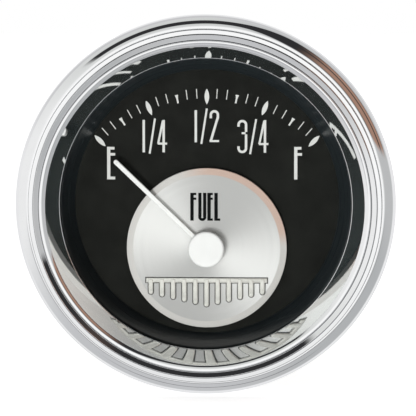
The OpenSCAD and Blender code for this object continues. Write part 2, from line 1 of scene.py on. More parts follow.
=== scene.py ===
"""Looks of a round electric fuel gauge: chrome bezel, black dial, spun centre disc and what is behind the panel.

Heights are counted forward from the panel's face, against the frame's Y, and lengths are in millimetres. Only CLOSE
and WELD, under which vertices are merged, are in metres.
"""
import logging
import math
from collections.abc import Callable
from dataclasses import dataclass, field
from enum import Enum

import bmesh
import bpy
from mathutils import Matrix, Vector


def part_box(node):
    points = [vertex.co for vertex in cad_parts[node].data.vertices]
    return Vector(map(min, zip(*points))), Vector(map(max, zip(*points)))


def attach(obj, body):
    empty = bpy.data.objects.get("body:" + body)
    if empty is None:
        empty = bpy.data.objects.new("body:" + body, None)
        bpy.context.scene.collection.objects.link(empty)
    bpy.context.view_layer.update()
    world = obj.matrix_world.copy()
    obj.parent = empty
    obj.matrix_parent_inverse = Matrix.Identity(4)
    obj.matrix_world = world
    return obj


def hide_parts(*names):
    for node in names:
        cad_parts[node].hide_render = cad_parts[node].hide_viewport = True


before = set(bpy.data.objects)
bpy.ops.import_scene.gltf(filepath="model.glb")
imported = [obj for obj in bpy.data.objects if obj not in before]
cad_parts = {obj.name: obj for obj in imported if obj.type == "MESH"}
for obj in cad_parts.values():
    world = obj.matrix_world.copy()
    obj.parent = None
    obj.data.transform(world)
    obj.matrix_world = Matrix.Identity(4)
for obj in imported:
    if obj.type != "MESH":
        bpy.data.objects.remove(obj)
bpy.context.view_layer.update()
MM = 0.001
CLOSE = 1e-7
WELD = 2e-6
Colour = tuple[float, float, float]
Point = tuple[float, float]
logging.basicConfig(level=logging.INFO, format="%(message)s")
LOG = logging.getLogger("gauge")


# Node trees

def operator(operation: str, swapped: bool = False) -> Callable[..., "Value"]:
    """Makes a method of Value that adds one Math node.

    Args:
        operation: The Math node's operation.
        swapped: Whether the value comes last, as it does on the right of a number.

    Returns:
        The method.
    """
    def method(self: "Value", *others: "Value | float") -> "Value":
        """The result of the Math node."""
        operands = (*others, self) if swapped else (self, *others)
        node = self.tree.add("Math", {"operation": operation}, dict(enumerate(operands)))
        return Value(self.tree, node.outputs[0])
    return method


class Value:
    """A shader socket that takes part in plain arithmetic, adding Math nodes as it goes.

    Its size is its absolute value, and up.turn_from(across) is the angle of a point about the origin, in radians.
    """

    __add__ = __radd__ = operator("ADD")
    __sub__ = operator("SUBTRACT")
    __rsub__ = operator("SUBTRACT", swapped=True)
    __mul__ = __rmul__ = operator("MULTIPLY")
    __truediv__ = operator("DIVIDE")
    __pow__ = operator("POWER")
    sin = operator("SINE")
    root = operator("SQRT")
    size = operator("ABSOLUTE")
    turn_from = operator("ARCTAN2")

    def __init__(self, tree: "NodeSheet", socket: bpy.types.NodeSocket) -> None:
        """Wraps a socket of a tree."""
        self.tree = tree
        self.socket = socket

    def step(self, low: float, high: float) -> "Value":
        """Smooth rise from 0 at low to 1 at high.

        Args:
            low: Where the rise starts.
            high: Where it ends.

        Returns:
            The mask.
        """
        node = self.tree.add("MapRange", {"interpolation_type": "SMOOTHSTEP"},
                             {"Value": self, "From Min": low, "From Max": high})
        return Value(self.tree, node.outputs["Result"])

    def hump(self, *ends: float) -> "Value":
        """Smooth rise between the first two ends and smooth fall between the last two.

        Args:
            ends: The four ends, from low to high.

        Returns:
            The mask.
        """
        return self.step(*ends[:2]) * (1.0 - self.step(*ends[2:]))


class NodeSheet:
    """The node tree of one material or of the world."""

    def __init__(self, owner: bpy.types.ID, output: str) -> None:
        """Empties the owner's tree and adds its output.

        Args:
            owner: The material or world.
            output: The kind of its output node.
        """
        owner.use_nodes = True
        self.owner = owner
        self.tree = owner.node_tree
        self.tree.nodes.clear()
        self.output = self.add(output)

    def add(self, kind: str, settings: dict | None = None, inputs: dict | None = None) -> bpy.types.Node:
        """Adds any node.

        Args:
            kind: The node's type, without its prefix.
            settings: Its settings.
            inputs: Values, sockets or Values by socket name or number.

        Returns:
            The node.
        """
        node = self.tree.nodes.new("ShaderNode" + kind)
        for key, value in (settings or {}).items():
            setattr(node, key, value)
        for key, value in (inputs or {}).items():
            self.feed(node.inputs[key], value)
        return node

    def feed(self, socket: bpy.types.NodeSocket, value: object) -> None:
        """Links or sets one input.

        Args:
            socket: The input.
            value: A Value, an output socket, a number or a colour.
        """
        if isinstance(value, Value):
            self.tree.links.new(value.socket, socket)
        elif isinstance(value, bpy.types.NodeSocket):
            self.tree.links.new(value, socket)
        elif socket.type == "RGBA" and len(value) == 3:
            socket.default_value = (*value, 1)
        else:
            socket.default_value = value

    def spot(self, centre: Colour = (0, 0, 0)) -> tuple[Value, Value, Value, bpy.types.NodeSocket]:
        """Object coordinates counted from a centre, in millimetres.

        Args:
            centre: The centre, in millimetres.

        Returns:
            The three coordinates and their vector.
        """
        source = self.add("TexCoord").outputs["Object"]
        mapped = self.add("Mapping", None, {"Vector": source, "Location": tuple(-c for c in centre),
                                            "Scale": (1 / MM,) * 3}).outputs[0]
        parts = self.add("SeparateXYZ", None, {0: mapped})
        return (*(Value(self, s) for s in parts.outputs), mapped)

    def noise(self, vector: bpy.types.NodeSocket, scale: float, detail: float = 3) -> Value:
        """Cloudy noise about 0.5.

        Args:
            vector: Where it is read, in millimetres.
            scale: Features to the millimetre.
            detail: Octaves.

        Returns:
            The noise.
        """
        node = self.add("TexNoise", None, {"Vector": vector, "Scale": scale, "Detail": detail, "Roughness": 0.55})
        return Value(self, node.outputs[0])

    def rings(self, radius: Value, scale: float, detail: float = 2) -> Value:
        """Noise that changes only along a radius or a height.

        Args:
            radius: The distance it is read at, in millimetres.
            scale: Features to the millimetre.
            detail: Octaves.

        Returns:
            The noise.
        """
        node = self.add("TexNoise", {"noise_dimensions": "1D"}, {"W": radius, "Scale": scale, "Detail": detail})
        return Value(self, node.outputs[0])

    def blend(self, mask: Value | float, first: object, second: object) -> bpy.types.NodeSocket:
        """Mixes two colours.

        Args:
            mask: 0 for the first and 1 for the second.
            first: A colour or a socket.
            second: A colour or a socket.

        Returns:
            The mixed colour.
        """
        node = self.add("Mix", {"data_type": "RGBA"}, {0: mask, 6: first, 7: second})
        return node.outputs[2]

    def bump(self, height: Value, distance: float) -> bpy.types.NodeSocket:
        """Turns a height into a normal.

        Args:
            height: The height, about 0 to 1.
            distance: What 1 is in millimetres.

        Returns:
            The normal.
        """
        node = self.add("Bump", None, {"Strength": 1.0, "Distance": distance * MM, "Height": height})
        return node.outputs[0]

    def surface(self, inputs: dict) -> None:
        """Ends the tree in a Principled shader.

        Args:
            inputs: Its values or links by socket name.
        """
        self.end(self.add("BsdfPrincipled", None, inputs))

    def end(self, shader: bpy.types.Node) -> None:
        """Links the last shader to the output."""
        self.tree.links.new(shader.outputs[0], self.output.inputs["Surface"])


# Finishes

@dataclass(frozen=True)
class Finish:
    """A finish with a faint cloudiness in its colour and gloss and a fine relief."""

    name: str
    slot: str
    colour: Colour
    roughness: float = 0.4
    metallic: float = 0.0
    cloud: float = 0.12
    grain: float = 0.6
    relief: float = 0.004
    relief_scale: float = 9.0
    coat: float = 0.0
    specular: float = 0.5

    def material(self) -> bpy.types.Material:
        """The finish as a material, made once."""
        found = bpy.data.materials.get(self.name)
        if found is None:
            found = bpy.data.materials.new(self.name)
            self.dress(NodeSheet(found, "OutputMaterial"))
        return found

    def shades(self) -> tuple[Colour, Colour]:
        """The darker and the lighter shade of the colour."""
        return (tuple(c * (1 - self.cloud) for c in self.colour),
                tuple(min(1.0, c * (1 + self.cloud)) for c in self.colour))

    def dress(self, sheet: NodeSheet) -> None:
        """Fills the node tree.

        Args:
            sheet: The empty tree.
        """
        *_, spot = sheet.spot()
        cloud = sheet.noise(spot, self.grain)
        fine = sheet.noise(spot, self.relief_scale, 4)
        sheet.surface({
            "Base Color": sheet.blend(cloud.step(0.3, 0.7), *self.shades()),
            "Roughness": self.roughness * (0.8 + 0.4 * fine),
            "Metallic": self.metallic,
            "Coat Weight": self.coat,
            "Specular IOR Level": self.specular,
            "Normal": sheet.bump(fine, self.relief),
        })


@dataclass(frozen=True)
class TurnedMetal(Finish):
    """Metal turned, spun or polished round an axis through a centre, with rings of tool marks.

    Its lines are the radii of folds along which painted crease shade darkens its colour, on the part of the front
    that stands forward of a given height.
    """

    centre: tuple[float, float, float] = (0, 0, 0)
    ring_scale: float = 7.0
    scratch: float = 0.15
    lines: tuple[float, ...] = ()
    line_width: float = 0.085
    # Colour and least height of the painted crease shade.
    painted_crease_shade: Colour = (0.16, 0.165, 0.175)
    crease_shade_from: float = 7.0

    def dress(self, sheet: NodeSheet) -> None:
        """Fills the node tree with rings about the axis, a few cloudy marks and painted crease shade along its folds.

        Args:
            sheet: The empty tree.
        """
        x, y, z, spot = sheet.spot(self.centre)
        radius = (x * x + z * z).root()
        rings = sheet.rings(radius + y, self.ring_scale)
        cloud = sheet.noise(spot, self.grain)
        mark = sheet.noise(spot, self.relief_scale, 4).step(0.62, 0.7)
        base = sheet.blend(cloud.step(0.3, 0.7), *self.shades())
        # Painted shade: a dark line at each fold's radius, on the front only.
        for line in self.lines:
            away = (radius - line).size().step(self.line_width * 0.4, self.line_width)
            raised = (0.0 - y).step(self.crease_shade_from, self.crease_shade_from + 0.5)
            base = sheet.blend((1.0 - away) * raised, base, self.painted_crease_shade)
        sheet.surface({
            "Base Color": base,
            "Roughness": self.roughness * (0.75 + 0.5 * rings) + self.scratch * self.roughness * mark,
            "Metallic": self.metallic,
            "Specular IOR Level": self.specular,
            "Normal": sheet.bump(rings, self.relief),
        })


@dataclass(frozen=True)
class SpunDiscMetal(Finish):
    """Bright metal spun about the pointer's axis, with fine grooves in its relief and two opposite cone-shaped
    highlights painted into its colour by the angle round the axis.

    Its brim is darker, with a pinkish painted reflection where it leans to the upper right.
    """

    centre: tuple[float, float, float] = (0, 0, -7.45)
    face_r: float = 11.85
    brim: Colour = (0.58, 0.566, 0.545)
    # Colour of the pinkish painted reflection on the brim.
    painted_warm_reflection: Colour = (0.58, 0.435, 0.37)
    groove_scale: float = 22.0
    waver_scale: float = 1.3
    # The last two set where the painted highlights lie round the axis and how narrow they are.
    highlight_cone_turn: float = 2.27
    highlight_cone_focus: float = 1.5

    def dress(self, sheet: NodeSheet) -> None:
        """Fills the node tree with grooves, broad painted highlights and a smoother brim.

        Args:
            sheet: The empty tree.
        """
        x, _, z, spot = sheet.spot(self.centre)
        radius = (x * x + z * z).root()
        angle = z.turn_from(x)
        grooves = sheet.rings(radius, self.groove_scale, 4)
        waver = sheet.rings(radius, self.waver_scale) * 0.25
        # Painted highlights: the darker and lighter shade of the colour swept round the axis in two opposite lobes,
        # in place of the spun finish's reflection.
        painted_highlight_cones = ((angle * 2.0 + waver + self.highlight_cone_turn).sin() * 0.5 + 0.5) ** self.highlight_cone_focus
        rim = radius.step(self.face_r - 0.1, self.face_r + 0.1)
        dark, light = self.shades()
        face = sheet.blend(painted_highlight_cones, dark, light)
        # Painted reflection: a pinkish tint on the brim towards the upper right.
        painted_warm_reflection = angle.hump(0.0, 0.25, 1.5, 2.0)
        sheet.surface({
            "Base Color": sheet.blend(rim, face, sheet.blend(painted_warm_reflection, self.brim, self.painted_warm_reflection)),
            "Roughness": self.roughness * (0.85 + 0.3 * grooves) + 0.2 * rim,
            "Metallic": self.metallic * (1.0 - 0.35 * rim),
            "Normal": sheet.bump(grooves * (1.0 - 0.7 * rim), self.relief),
        })


@dataclass(frozen=True)
class PlatedSheet(Finish):
    """Pressed sheet with a passivated plating: soft mottling, a straw tint and drawing lines."""

    tint: Colour = (0.6, 0.58, 0.5)
    line_scale: float = 3.0

    def dress(self, sheet: NodeSheet) -> None:
        """Fills the node tree.

        Args:
            sheet: The empty tree.
        """
        _, y, _, spot = sheet.spot()
        mottle = sheet.noise(spot, 0.35, 5)
        lines = sheet.rings(y, self.line_scale, 4)
        fine = sheet.noise(spot, self.relief_scale, 3)
        base = sheet.blend(fine.step(0.35, 0.65), *self.shades())
        sheet.surface({
            "Base Color": sheet.blend(mottle.step(0.3, 0.75), base, self.tint),
            "Roughness": self.roughness * (0.7 + 0.3 * mottle + 0.3 * lines),
            "Metallic": self.metallic,
            "Normal": sheet.bump(fine * 0.4 + lines * 0.6, self.relief),
        })


@dataclass(frozen=True)
class Ink(Finish):
    """Printed ink with a slightly uneven edge to its gloss."""

    def dress(self, sheet: NodeSheet) -> None:
        """Fills the node tree.

        Args:
            sheet: The empty tree.
        """
        *_, spot = sheet.spot()
        pores = sheet.noise(spot, 14.0, 2)
        sheet.surface({
            "Base Color": sheet.blend(pores.step(0.35, 0.75), *self.shades()),
            "Roughness": self.roughness * (0.8 + 0.4 * pores),
            "Metallic": self.metallic,
            "Specular IOR Level": self.specular,
        })


@dataclass(frozen=True)
class ClearGlass(Finish):
    """Clear glass: what is behind it shows, under a cool sheen that grows at a slant.

    Reflect scales its reflection seen straight on, and glance is the share of sheen at a full slant.
    """

    reflect: float = 0.0
    glance: float = 0.042
    sheen: Colour = (0.72, 0.95, 1.0)

    def dress(self, sheet: NodeSheet) -> None:
        """Fills the node tree.

        Args:
            sheet: The empty tree.
        """
        *_, spot = sheet.spot()
        haze = sheet.noise(spot, 0.4, 2)
        clear = sheet.add("BsdfTransparent", None, {"Color": self.colour})
        gloss = sheet.add("BsdfPrincipled", None, {
            "Base Color": self.sheen, "Roughness": 0.36 + 0.08 * haze, "Metallic": 1.0})
        fresnel = Value(sheet, sheet.add("Fresnel", None, {"IOR": 1.5}).outputs[0])
        slant = Value(sheet, sheet.add("LayerWeight", None, {"Blend": 0.5}).outputs["Facing"]).step(0.1, 0.7)
        share = (fresnel * self.reflect + slant * self.glance) * (0.9 + 0.2 * haze)
        sheet.end(sheet.add("MixShader", None, {0: share, 1: clear.outputs[0], 2: gloss.outputs[0]}))


class Kind(Enum):
    """The finishes of the gauge."""

    # The chrome's lines are the fold radii that get painted crease shade.
    CHROME = TurnedMetal("mirror_chrome", "chrome_bezel", (0.93, 0.935, 0.94), 0.035, 1.0, 0.01, 0.3, 0.0004, 20.0,
                         lines=(26.13, 27.03, 27.8))
    GLASS = ClearGlass("clear_lens_glass", "lens_glass", (0.985, 0.99, 0.987))
    RUBBER = Finish("gasket_rubber", "seal_rubber", (0.02, 0.02, 0.02), 0.7, relief=0.01)
    SPACER = TurnedMetal("gloss_black_spacer", "black_gloss", (0.0095, 0.0125, 0.014), 0.3, 0.0, 0.1, 0.5, 0.0003,
                         6.0)
    DIAL = Finish("matt_black_dial", "black_dial", (0.0078, 0.0082, 0.0072), 0.5, 0.0, 0.18, 0.25, 0.004, 14.0,
                  specular=0.08)
    # The disc's cloud sets the contrast of its painted highlights.
    DISC = SpunDiscMetal("spun_disc_metal", "spun_nickel", (0.655, 0.652, 0.64), 0.4, 0.6, 0.27, 1.0, 0.012)
    MOTIF = Finish("motif_nickel", "ornament_nickel", (0.66, 0.652, 0.61), 0.25, 0.6, 0.05, 1.2, 0.002, 8.0)
    # A dark sheet under the motif's bars that paints the shade round them.
    MOTIF_SHADE = Ink("motif_painted_shade", "black_gloss", (0.012, 0.013, 0.013), 0.3)
    SCALE_INK = Ink("silver_white_ink", "pointer_white", (0.46, 0.46, 0.447), 0.45, 0.0, 0.06)
    WORD_INK = Ink("black_ink", "black_plastic", (0.003, 0.0035, 0.0035), 0.6, specular=0.1)
    WHITE_RING = Finish("white_moulding", "white_plastic", (0.78, 0.78, 0.76), 0.45, cloud=0.04)
    NATURAL = Finish("natural_moulding", "natural_plastic", (0.7, 0.66, 0.55), 0.4, cloud=0.05)
    BLACK_PLASTIC = Finish("black_moulding", "black_plastic", (0.025, 0.025, 0.027), 0.42, cloud=0.15, relief=0.01)
    NEEDLE = Finish("pointer_paint", "pointer_white", (0.56, 0.56, 0.55), 0.35, cloud=0.03, relief=0.002)
    CAP = TurnedMetal("satin_cap", "cap_white", (0.55, 0.55, 0.545), 0.38, 0.0, 0.02, 0.5, 0.002, 6.0,
                      centre=(0, 0, -7.45))
    BRASS = TurnedMetal("turned_brass_finish", "turned_brass", (0.72, 0.50, 0.20), 0.28, 1.0, 0.1, 0.7, 0.004, 5.0)
    STEEL = TurnedMetal("bright_steel_finish", "bright_steel", (0.62, 0.62, 0.61), 0.3, 1.0, 0.08, 0.8, 0.004, 6.0)
    ZINC = PlatedSheet("zinc_plated_sheet", "zinc_sheet", (0.50, 0.51, 0.52), 0.34, 1.0, 0.05, 0.4, 0.006, 5.0,
                       tint=(0.50, 0.495, 0.45))
    STRAW = PlatedSheet("straw_passivated_strap", "zinc_sheet", (0.60, 0.54, 0.36), 0.33, 1.0, 0.06, 0.4, 0.006, 5.0,
                        tint=(0.62, 0.50, 0.38))
    FERRITE = Finish("magnet_ferrite", "magnet_grey", (0.09, 0.09, 0.095), 0.5, 0.4, relief=0.01)
    COPPER = Finish("enamelled_copper", "copper_wire", (0.62, 0.26, 0.10), 0.3, 0.8, 0.15, 2.5, 0.002, coat=0.4)
    BOARD = Finish("board_laminate", "board_green", (0.04, 0.14, 0.05), 0.35, cloud=0.2, grain=1.5, coat=0.3)
    RESISTOR = Finish("resistor_coating", "resistor_tan", (0.55, 0.42, 0.26), 0.45, cloud=0.06)
    BULB = ClearGlass("bulb_glass", "lamp_glass", (0.96, 0.95, 0.92), reflect=1.0)


# Mesh making

class Bench:
    """The bench on which meshes are begun, shaped and finished. Lengths are in millimetres.

    The thread's form is one pitch of its outline, as shares of its pitch and of its depth.
    """

    THREAD_FORM = ((0, 0), (0.12, 0), (0.5, 1), (0.62, 1))
    THREAD_STEPS = 24

    @staticmethod
    def axis(centre: Point) -> Vector:
        """The place of an axis along Y, in metres."""
        return Vector((centre[0], 0, centre[1])) * MM

    @staticmethod
    def bow(centre: Point, radius: float, start: float, end: float, steps: int = 10, lift: float = 1.0
            ) -> list[Point]:
        """Points along an arc of a section.

        Args:
            centre: Radius and height of its centre.
            radius: Its radius.
            start: Angle of the first point, in degrees.
            end: Angle of the last point.
            steps: How many pieces it has.
            lift: How tall it is for its width.

        Returns:
            The points.
        """
        turns = [math.radians(start + (end - start) * i / steps) for i in range(steps + 1)]
        return [(centre[0] + radius * math.cos(t), centre[1] + radius * lift * math.sin(t)) for t in turns]

    @staticmethod
    def guard(section: list[Point], margin: float = 0.03) -> list[Point]:
        """Adds a point near both ends of every long straight run, so that it shades flat.

        Args:
            section: A closed section.
            margin: How far from the run's ends they are.

        Returns:
            The longer section.
        """
        kept = []
        for (r0, h0), (r1, h1) in zip(section, section[1:] + section[:1]):
            kept.append((r0, h0))
            length = math.hypot(r1 - r0, h1 - h0)
            if length > margin * 6:
                for share in (margin / length, 1 - margin / length):
                    kept.append((r0 + (r1 - r0) * share, h0 + (h1 - h0) * share))
        return kept

    @staticmethod
    def turn(section: list[Point], centre: Point = (0, 0), steps: int = 192) -> bmesh.types.BMesh:
        """Spins a closed section about an axis along Y.

        Args:
            section: Radius and forward height of its points.
            centre: Where the axis is, across and up.
            steps: Faces round the axis.

        Returns:
            The mesh.
        """
        mesh = bmesh.new()
        axis = Bench.axis(centre)
        dots = [mesh.verts.new(axis + Vector((r, -h, 0)) * MM) for r, h in section]
        ring = [mesh.edges.new(pair) for pair in zip(dots, dots[1:] + dots[:1])]
        bmesh.ops.spin(mesh, geom=dots + ring, cent=axis, axis=(0, 1, 0), angle=math.tau, steps=steps, use_merge=True)
        return Bench.clean(mesh)

    @staticmethod
    def clean(mesh: bmesh.types.BMesh) -> bmesh.types.BMesh:
        """Merges doubles and turns every face outwards."""
        bmesh.ops.remove_doubles(mesh, verts=mesh.verts, dist=CLOSE)
        bmesh.ops.recalc_face_normals(mesh, faces=mesh.faces)
        return mesh

    @staticmethod
    def bar(mesh: bmesh.types.BMesh, start: Point, end: Point, width: float, low: float, high: float) -> None:
        """Adds a straight flat bar in a plane that faces forward.

        Args:
            mesh: What it is added to.
            start: Its first end, across and up.
            end: Its other end.
            width: Its width.
            low: Its rear face's height.
            high: Its front face's height.
        """
        along = Vector((end[0] - start[0], 0, end[1] - start[1]))
        middle = Vector(((start[0] + end[0]) / 2, -(low + high) / 2, (start[1] + end[1]) / 2))
        turned = Matrix.Rotation(-math.atan2(along.z, along.x), 4, "Y")
        scaled = Matrix.Diagonal((along.length, high - low, width, 1))
        bmesh.ops.create_cube(mesh, size=MM, matrix=Matrix.Translation(middle * MM) @ turned @ scaled)

    @staticmethod
    def peg(mesh: bmesh.types.BMesh, spot: Point, width: float, middle: float, depth: float, segments: int) -> None:
        """Adds a short round peg along Y.

        Args:
            mesh: What it is added to.
            spot: Where its axis is, across and up.
            width: Its diameter.
            middle: The height of its middle.
            depth: Its length.
            segments: Faces round it.
        """
        place = Matrix.Translation(Vector((spot[0], -middle, spot[1])) * MM)
        bmesh.ops.create_cone(mesh, cap_ends=True, segments=segments, radius1=width / 2 * MM, radius2=width / 2 * MM,
                              depth=depth * MM, matrix=place @ Matrix.Rotation(math.radians(90), 4, "X"))

    @staticmethod
    def round_front(mesh: bmesh.types.BMesh, height: float, width: float) -> None:
        """Rounds the edges that lie in front of a height.

        Args:
            mesh: The mesh.
            height: The height.
            width: How far each edge is rounded back.
        """
        rims = [e for e in mesh.edges if all(v.co.y < -height * MM for v in e.verts)]
        bmesh.ops.bevel(mesh, geom=rims, offset=width * MM, affect="EDGES", segments=3, profile=0.5, material=-1)

    @staticmethod
    def sweep(mesh: bmesh.types.BMesh, centre: Point, radius: float, start: float, end: float, width: float,
              low: float, high: float) -> None:
        """Adds a flat bar bent along an arc, in a plane that faces forward.

        Args:
            mesh: What it is added to.
            centre: The arc's centre, across and up.
            radius: The radius of its middle line.
            start: Angle of its first end, in degrees, anticlockwise from the right.
            end: Angle of its last end.
            width: Its width.
            low: Its rear face's height.
            high: Its front face's height.
        """
        out = Vector((math.cos(math.radians(start)), 0, math.sin(math.radians(start))))
        middle = Vector((centre[0], 0, centre[1]))
        corners = [(radius - width / 2, -low), (radius + width / 2, -low), (radius + width / 2, -high),
                   (radius - width / 2, -high)]
        dots = [mesh.verts.new((middle + out * r + Vector((0, y, 0))) * MM) for r, y in corners]
        face = mesh.faces.new(dots)
        made = bmesh.ops.spin(mesh, geom=[face], cent=middle * MM, axis=(0, -1, 0), angle=math.radians(end - start),
                              steps=max(4, int(abs(end - start) / 9)), use_duplicate=False)
        last = [g for g in made["geom_last"] if isinstance(g, bmesh.types.BMFace)]
        bmesh.ops.recalc_face_normals(mesh, faces=last)

    @staticmethod
    def leaf(mesh: bmesh.types.BMesh, centre: Point, angle: float, length: float, width: float, low: float,
             high: float) -> None:
        """Adds a leaf with two bowed sides and pointed ends.

        Args:
            mesh: What it is added to.
            centre: Its middle, across and up.
            angle: How far it leans to the right of upright, in degrees.
            length: Its length.
            width: Its width.
            low: Its rear face's height.
            high: Its front face's height.
        """
        radius = (length * length / 4 + width * width / 4) / width
        part = bmesh.new()
        for side in (-1, 1):
            made = bmesh.ops.create_circle(part, cap_ends=True, segments=160, radius=radius * MM,
                                           matrix=Matrix.Translation((side * (radius - width / 2) * MM, 0, 0)))
            edges = {e for v in made["verts"] for e in v.link_edges}
            faces = {f for v in made["verts"] for f in v.link_faces}
            bmesh.ops.bisect_plane(part, geom=made["verts"] + list(edges | faces), plane_co=(0, 0, 0),
                                   plane_no=(side, 0, 0), clear_outer=True)
        bmesh.ops.remove_doubles(part, verts=part.verts, dist=CLOSE)
        bmesh.ops.dissolve_limit(part, angle_limit=0.01, verts=part.verts, edges=part.edges)
        lifted = bmesh.ops.extrude_face_region(part, geom=list(part.faces))["geom"]
        bmesh.ops.translate(part, verts=[g for g in lifted if isinstance(g, bmesh.types.BMVert)],
                            vec=(0, 0, (high - low) * MM))
        stand = Matrix.Rotation(math.radians(angle), 4, "Y") @ Matrix.Rotation(math.radians(90), 4, "X")
        bmesh.ops.transform(part, verts=part.verts, matrix=Matrix.Translation(
            Vector((centre[0], -low, centre[1])) * MM) @ stand)
        Bench.join(mesh, Bench.clean(part))

    @staticmethod
    def join(mesh: bmesh.types.BMesh, part: bmesh.types.BMesh) -> None:
        """Adds one mesh to another and frees it."""
        kept = Bench.settle(part, "joining")
        mesh.from_mesh(kept)
        bpy.data.meshes.remove(kept)

    @staticmethod
    def settle(mesh: bmesh.types.BMesh, name: str) -> bpy.types.Mesh:
        """Turns a mesh on the bench into named mesh data and frees it."""
        data = bpy.data.meshes.new(name)
        mesh.to_mesh(data)
        mesh.free()
        return data

    @staticmethod
    def place(data: bpy.types.ID, name: str) -> bpy.types.Object:
        """Stands data in the scene as a named object."""
        made = bpy.data.objects.new(name, data)
        bpy.context.scene.collection.objects.link(made)
        return made

    @staticmethod
    def thread(radius: float, depth: float, pitch: float, front: float, back: float, centre: Point
               ) -> bmesh.types.BMesh:
        """A threaded rod along Y with flat ends.

        Args:
            radius: Radius of the thread's crests.
            depth: How deep it is cut.
            pitch: Its pitch.
            front: Height of the front end.
            back: Height of the back end.
            centre: Where its axis is, across and up.

        Returns:
            The mesh.
        """
        mesh = bmesh.new()
        axis = Bench.axis(centre)
        dots = []
        for i in range(int((front - back) / pitch) + 3):
            base = -front - pitch * 1.5 + i * pitch
            for along, deep in Bench.THREAD_FORM:
                dots.append(mesh.verts.new(axis + Vector((radius - depth * deep, base + along * pitch, 0)) * MM))
        line = [mesh.edges.new(pair) for pair in zip(dots, dots[1:])]
        bmesh.ops.spin(mesh, geom=dots + line, cent=axis, axis=(0, 1, 0), angle=math.tau, steps=Bench.THREAD_STEPS,
                       dvec=(0, pitch * MM / Bench.THREAD_STEPS, 0))
        bmesh.ops.remove_doubles(mesh, verts=mesh.verts, dist=WELD)
        for height, way in ((front, -1), (back, 1)):
            cut = bmesh.ops.bisect_plane(mesh, geom=mesh.verts[:] + mesh.edges[:] + mesh.faces[:],
                                         plane_co=(0, -height * MM, 0), plane_no=(0, way, 0), clear_outer=True)
            rim = [g for g in cut["geom_cut"] if isinstance(g, bmesh.types.BMEdge)]
            bmesh.ops.edgenet_fill(mesh, edges=rim)
        return Bench.clean(mesh)

    @staticmethod
    def soften(node: str, width: float, angle: float = 30, segments: int = 2) -> bmesh.types.BMesh:
        """A copy of a CAD node's shape with its sharp edges rounded.

        Args:
            node: The node's name.
            width: How far each edge is rounded back.
            angle: The least angle between two faces that counts as an edge, in degrees.
            segments: Faces across the rounding.

        Returns:
            The mesh.
        """
        mesh = bmesh.new()
        mesh.from_mesh(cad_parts[node].data)
        bmesh.ops.remove_doubles(mesh, verts=mesh.verts, dist=WELD)
        bmesh.ops.dissolve_limit(mesh, angle_limit=math.radians(0.5), verts=mesh.verts, edges=mesh.edges)
        sharp = [e for e in mesh.edges if len(e.link_faces) == 2 and e.calc_face_angle(0) > math.radians(angle)]
        bmesh.ops.bevel(mesh, geom=sharp, offset=width * MM, affect="EDGES", segments=segments, profile=0.5,
                        material=-1, clamp_overlap=True)
        return mesh

    @staticmethod
    def finish(mesh: bmesh.types.BMesh, name: str, body: str, kind: Kind, *nodes: str, smooth: float = 32
               ) -> bpy.types.Object:
        """Turns a mesh into a dressed piece that rides on a body.

        Args:
            mesh: The mesh, which is freed.
            name: The piece's name.
            body: The body it rides on.
            kind: Its finish.
            nodes: The CAD nodes it stands for.
            smooth: The angle under which neighbouring faces shade as one, in degrees.

        Returns:
            The piece.
        """
        data = Bench.settle(mesh, name)
        data.shade_smooth()
        data.set_sharp_from_angle(angle=math.radians(smooth))
        data.materials.append(kind.value.material())
        piece = Bench.place(data, name)
        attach(piece, body)
        if nodes:
            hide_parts(*nodes)
        LOG.info("%s: %d faces, on %s, %s", name, len(data.polygons), body, kind.value.name)
        return piece


# Sub-assemblies

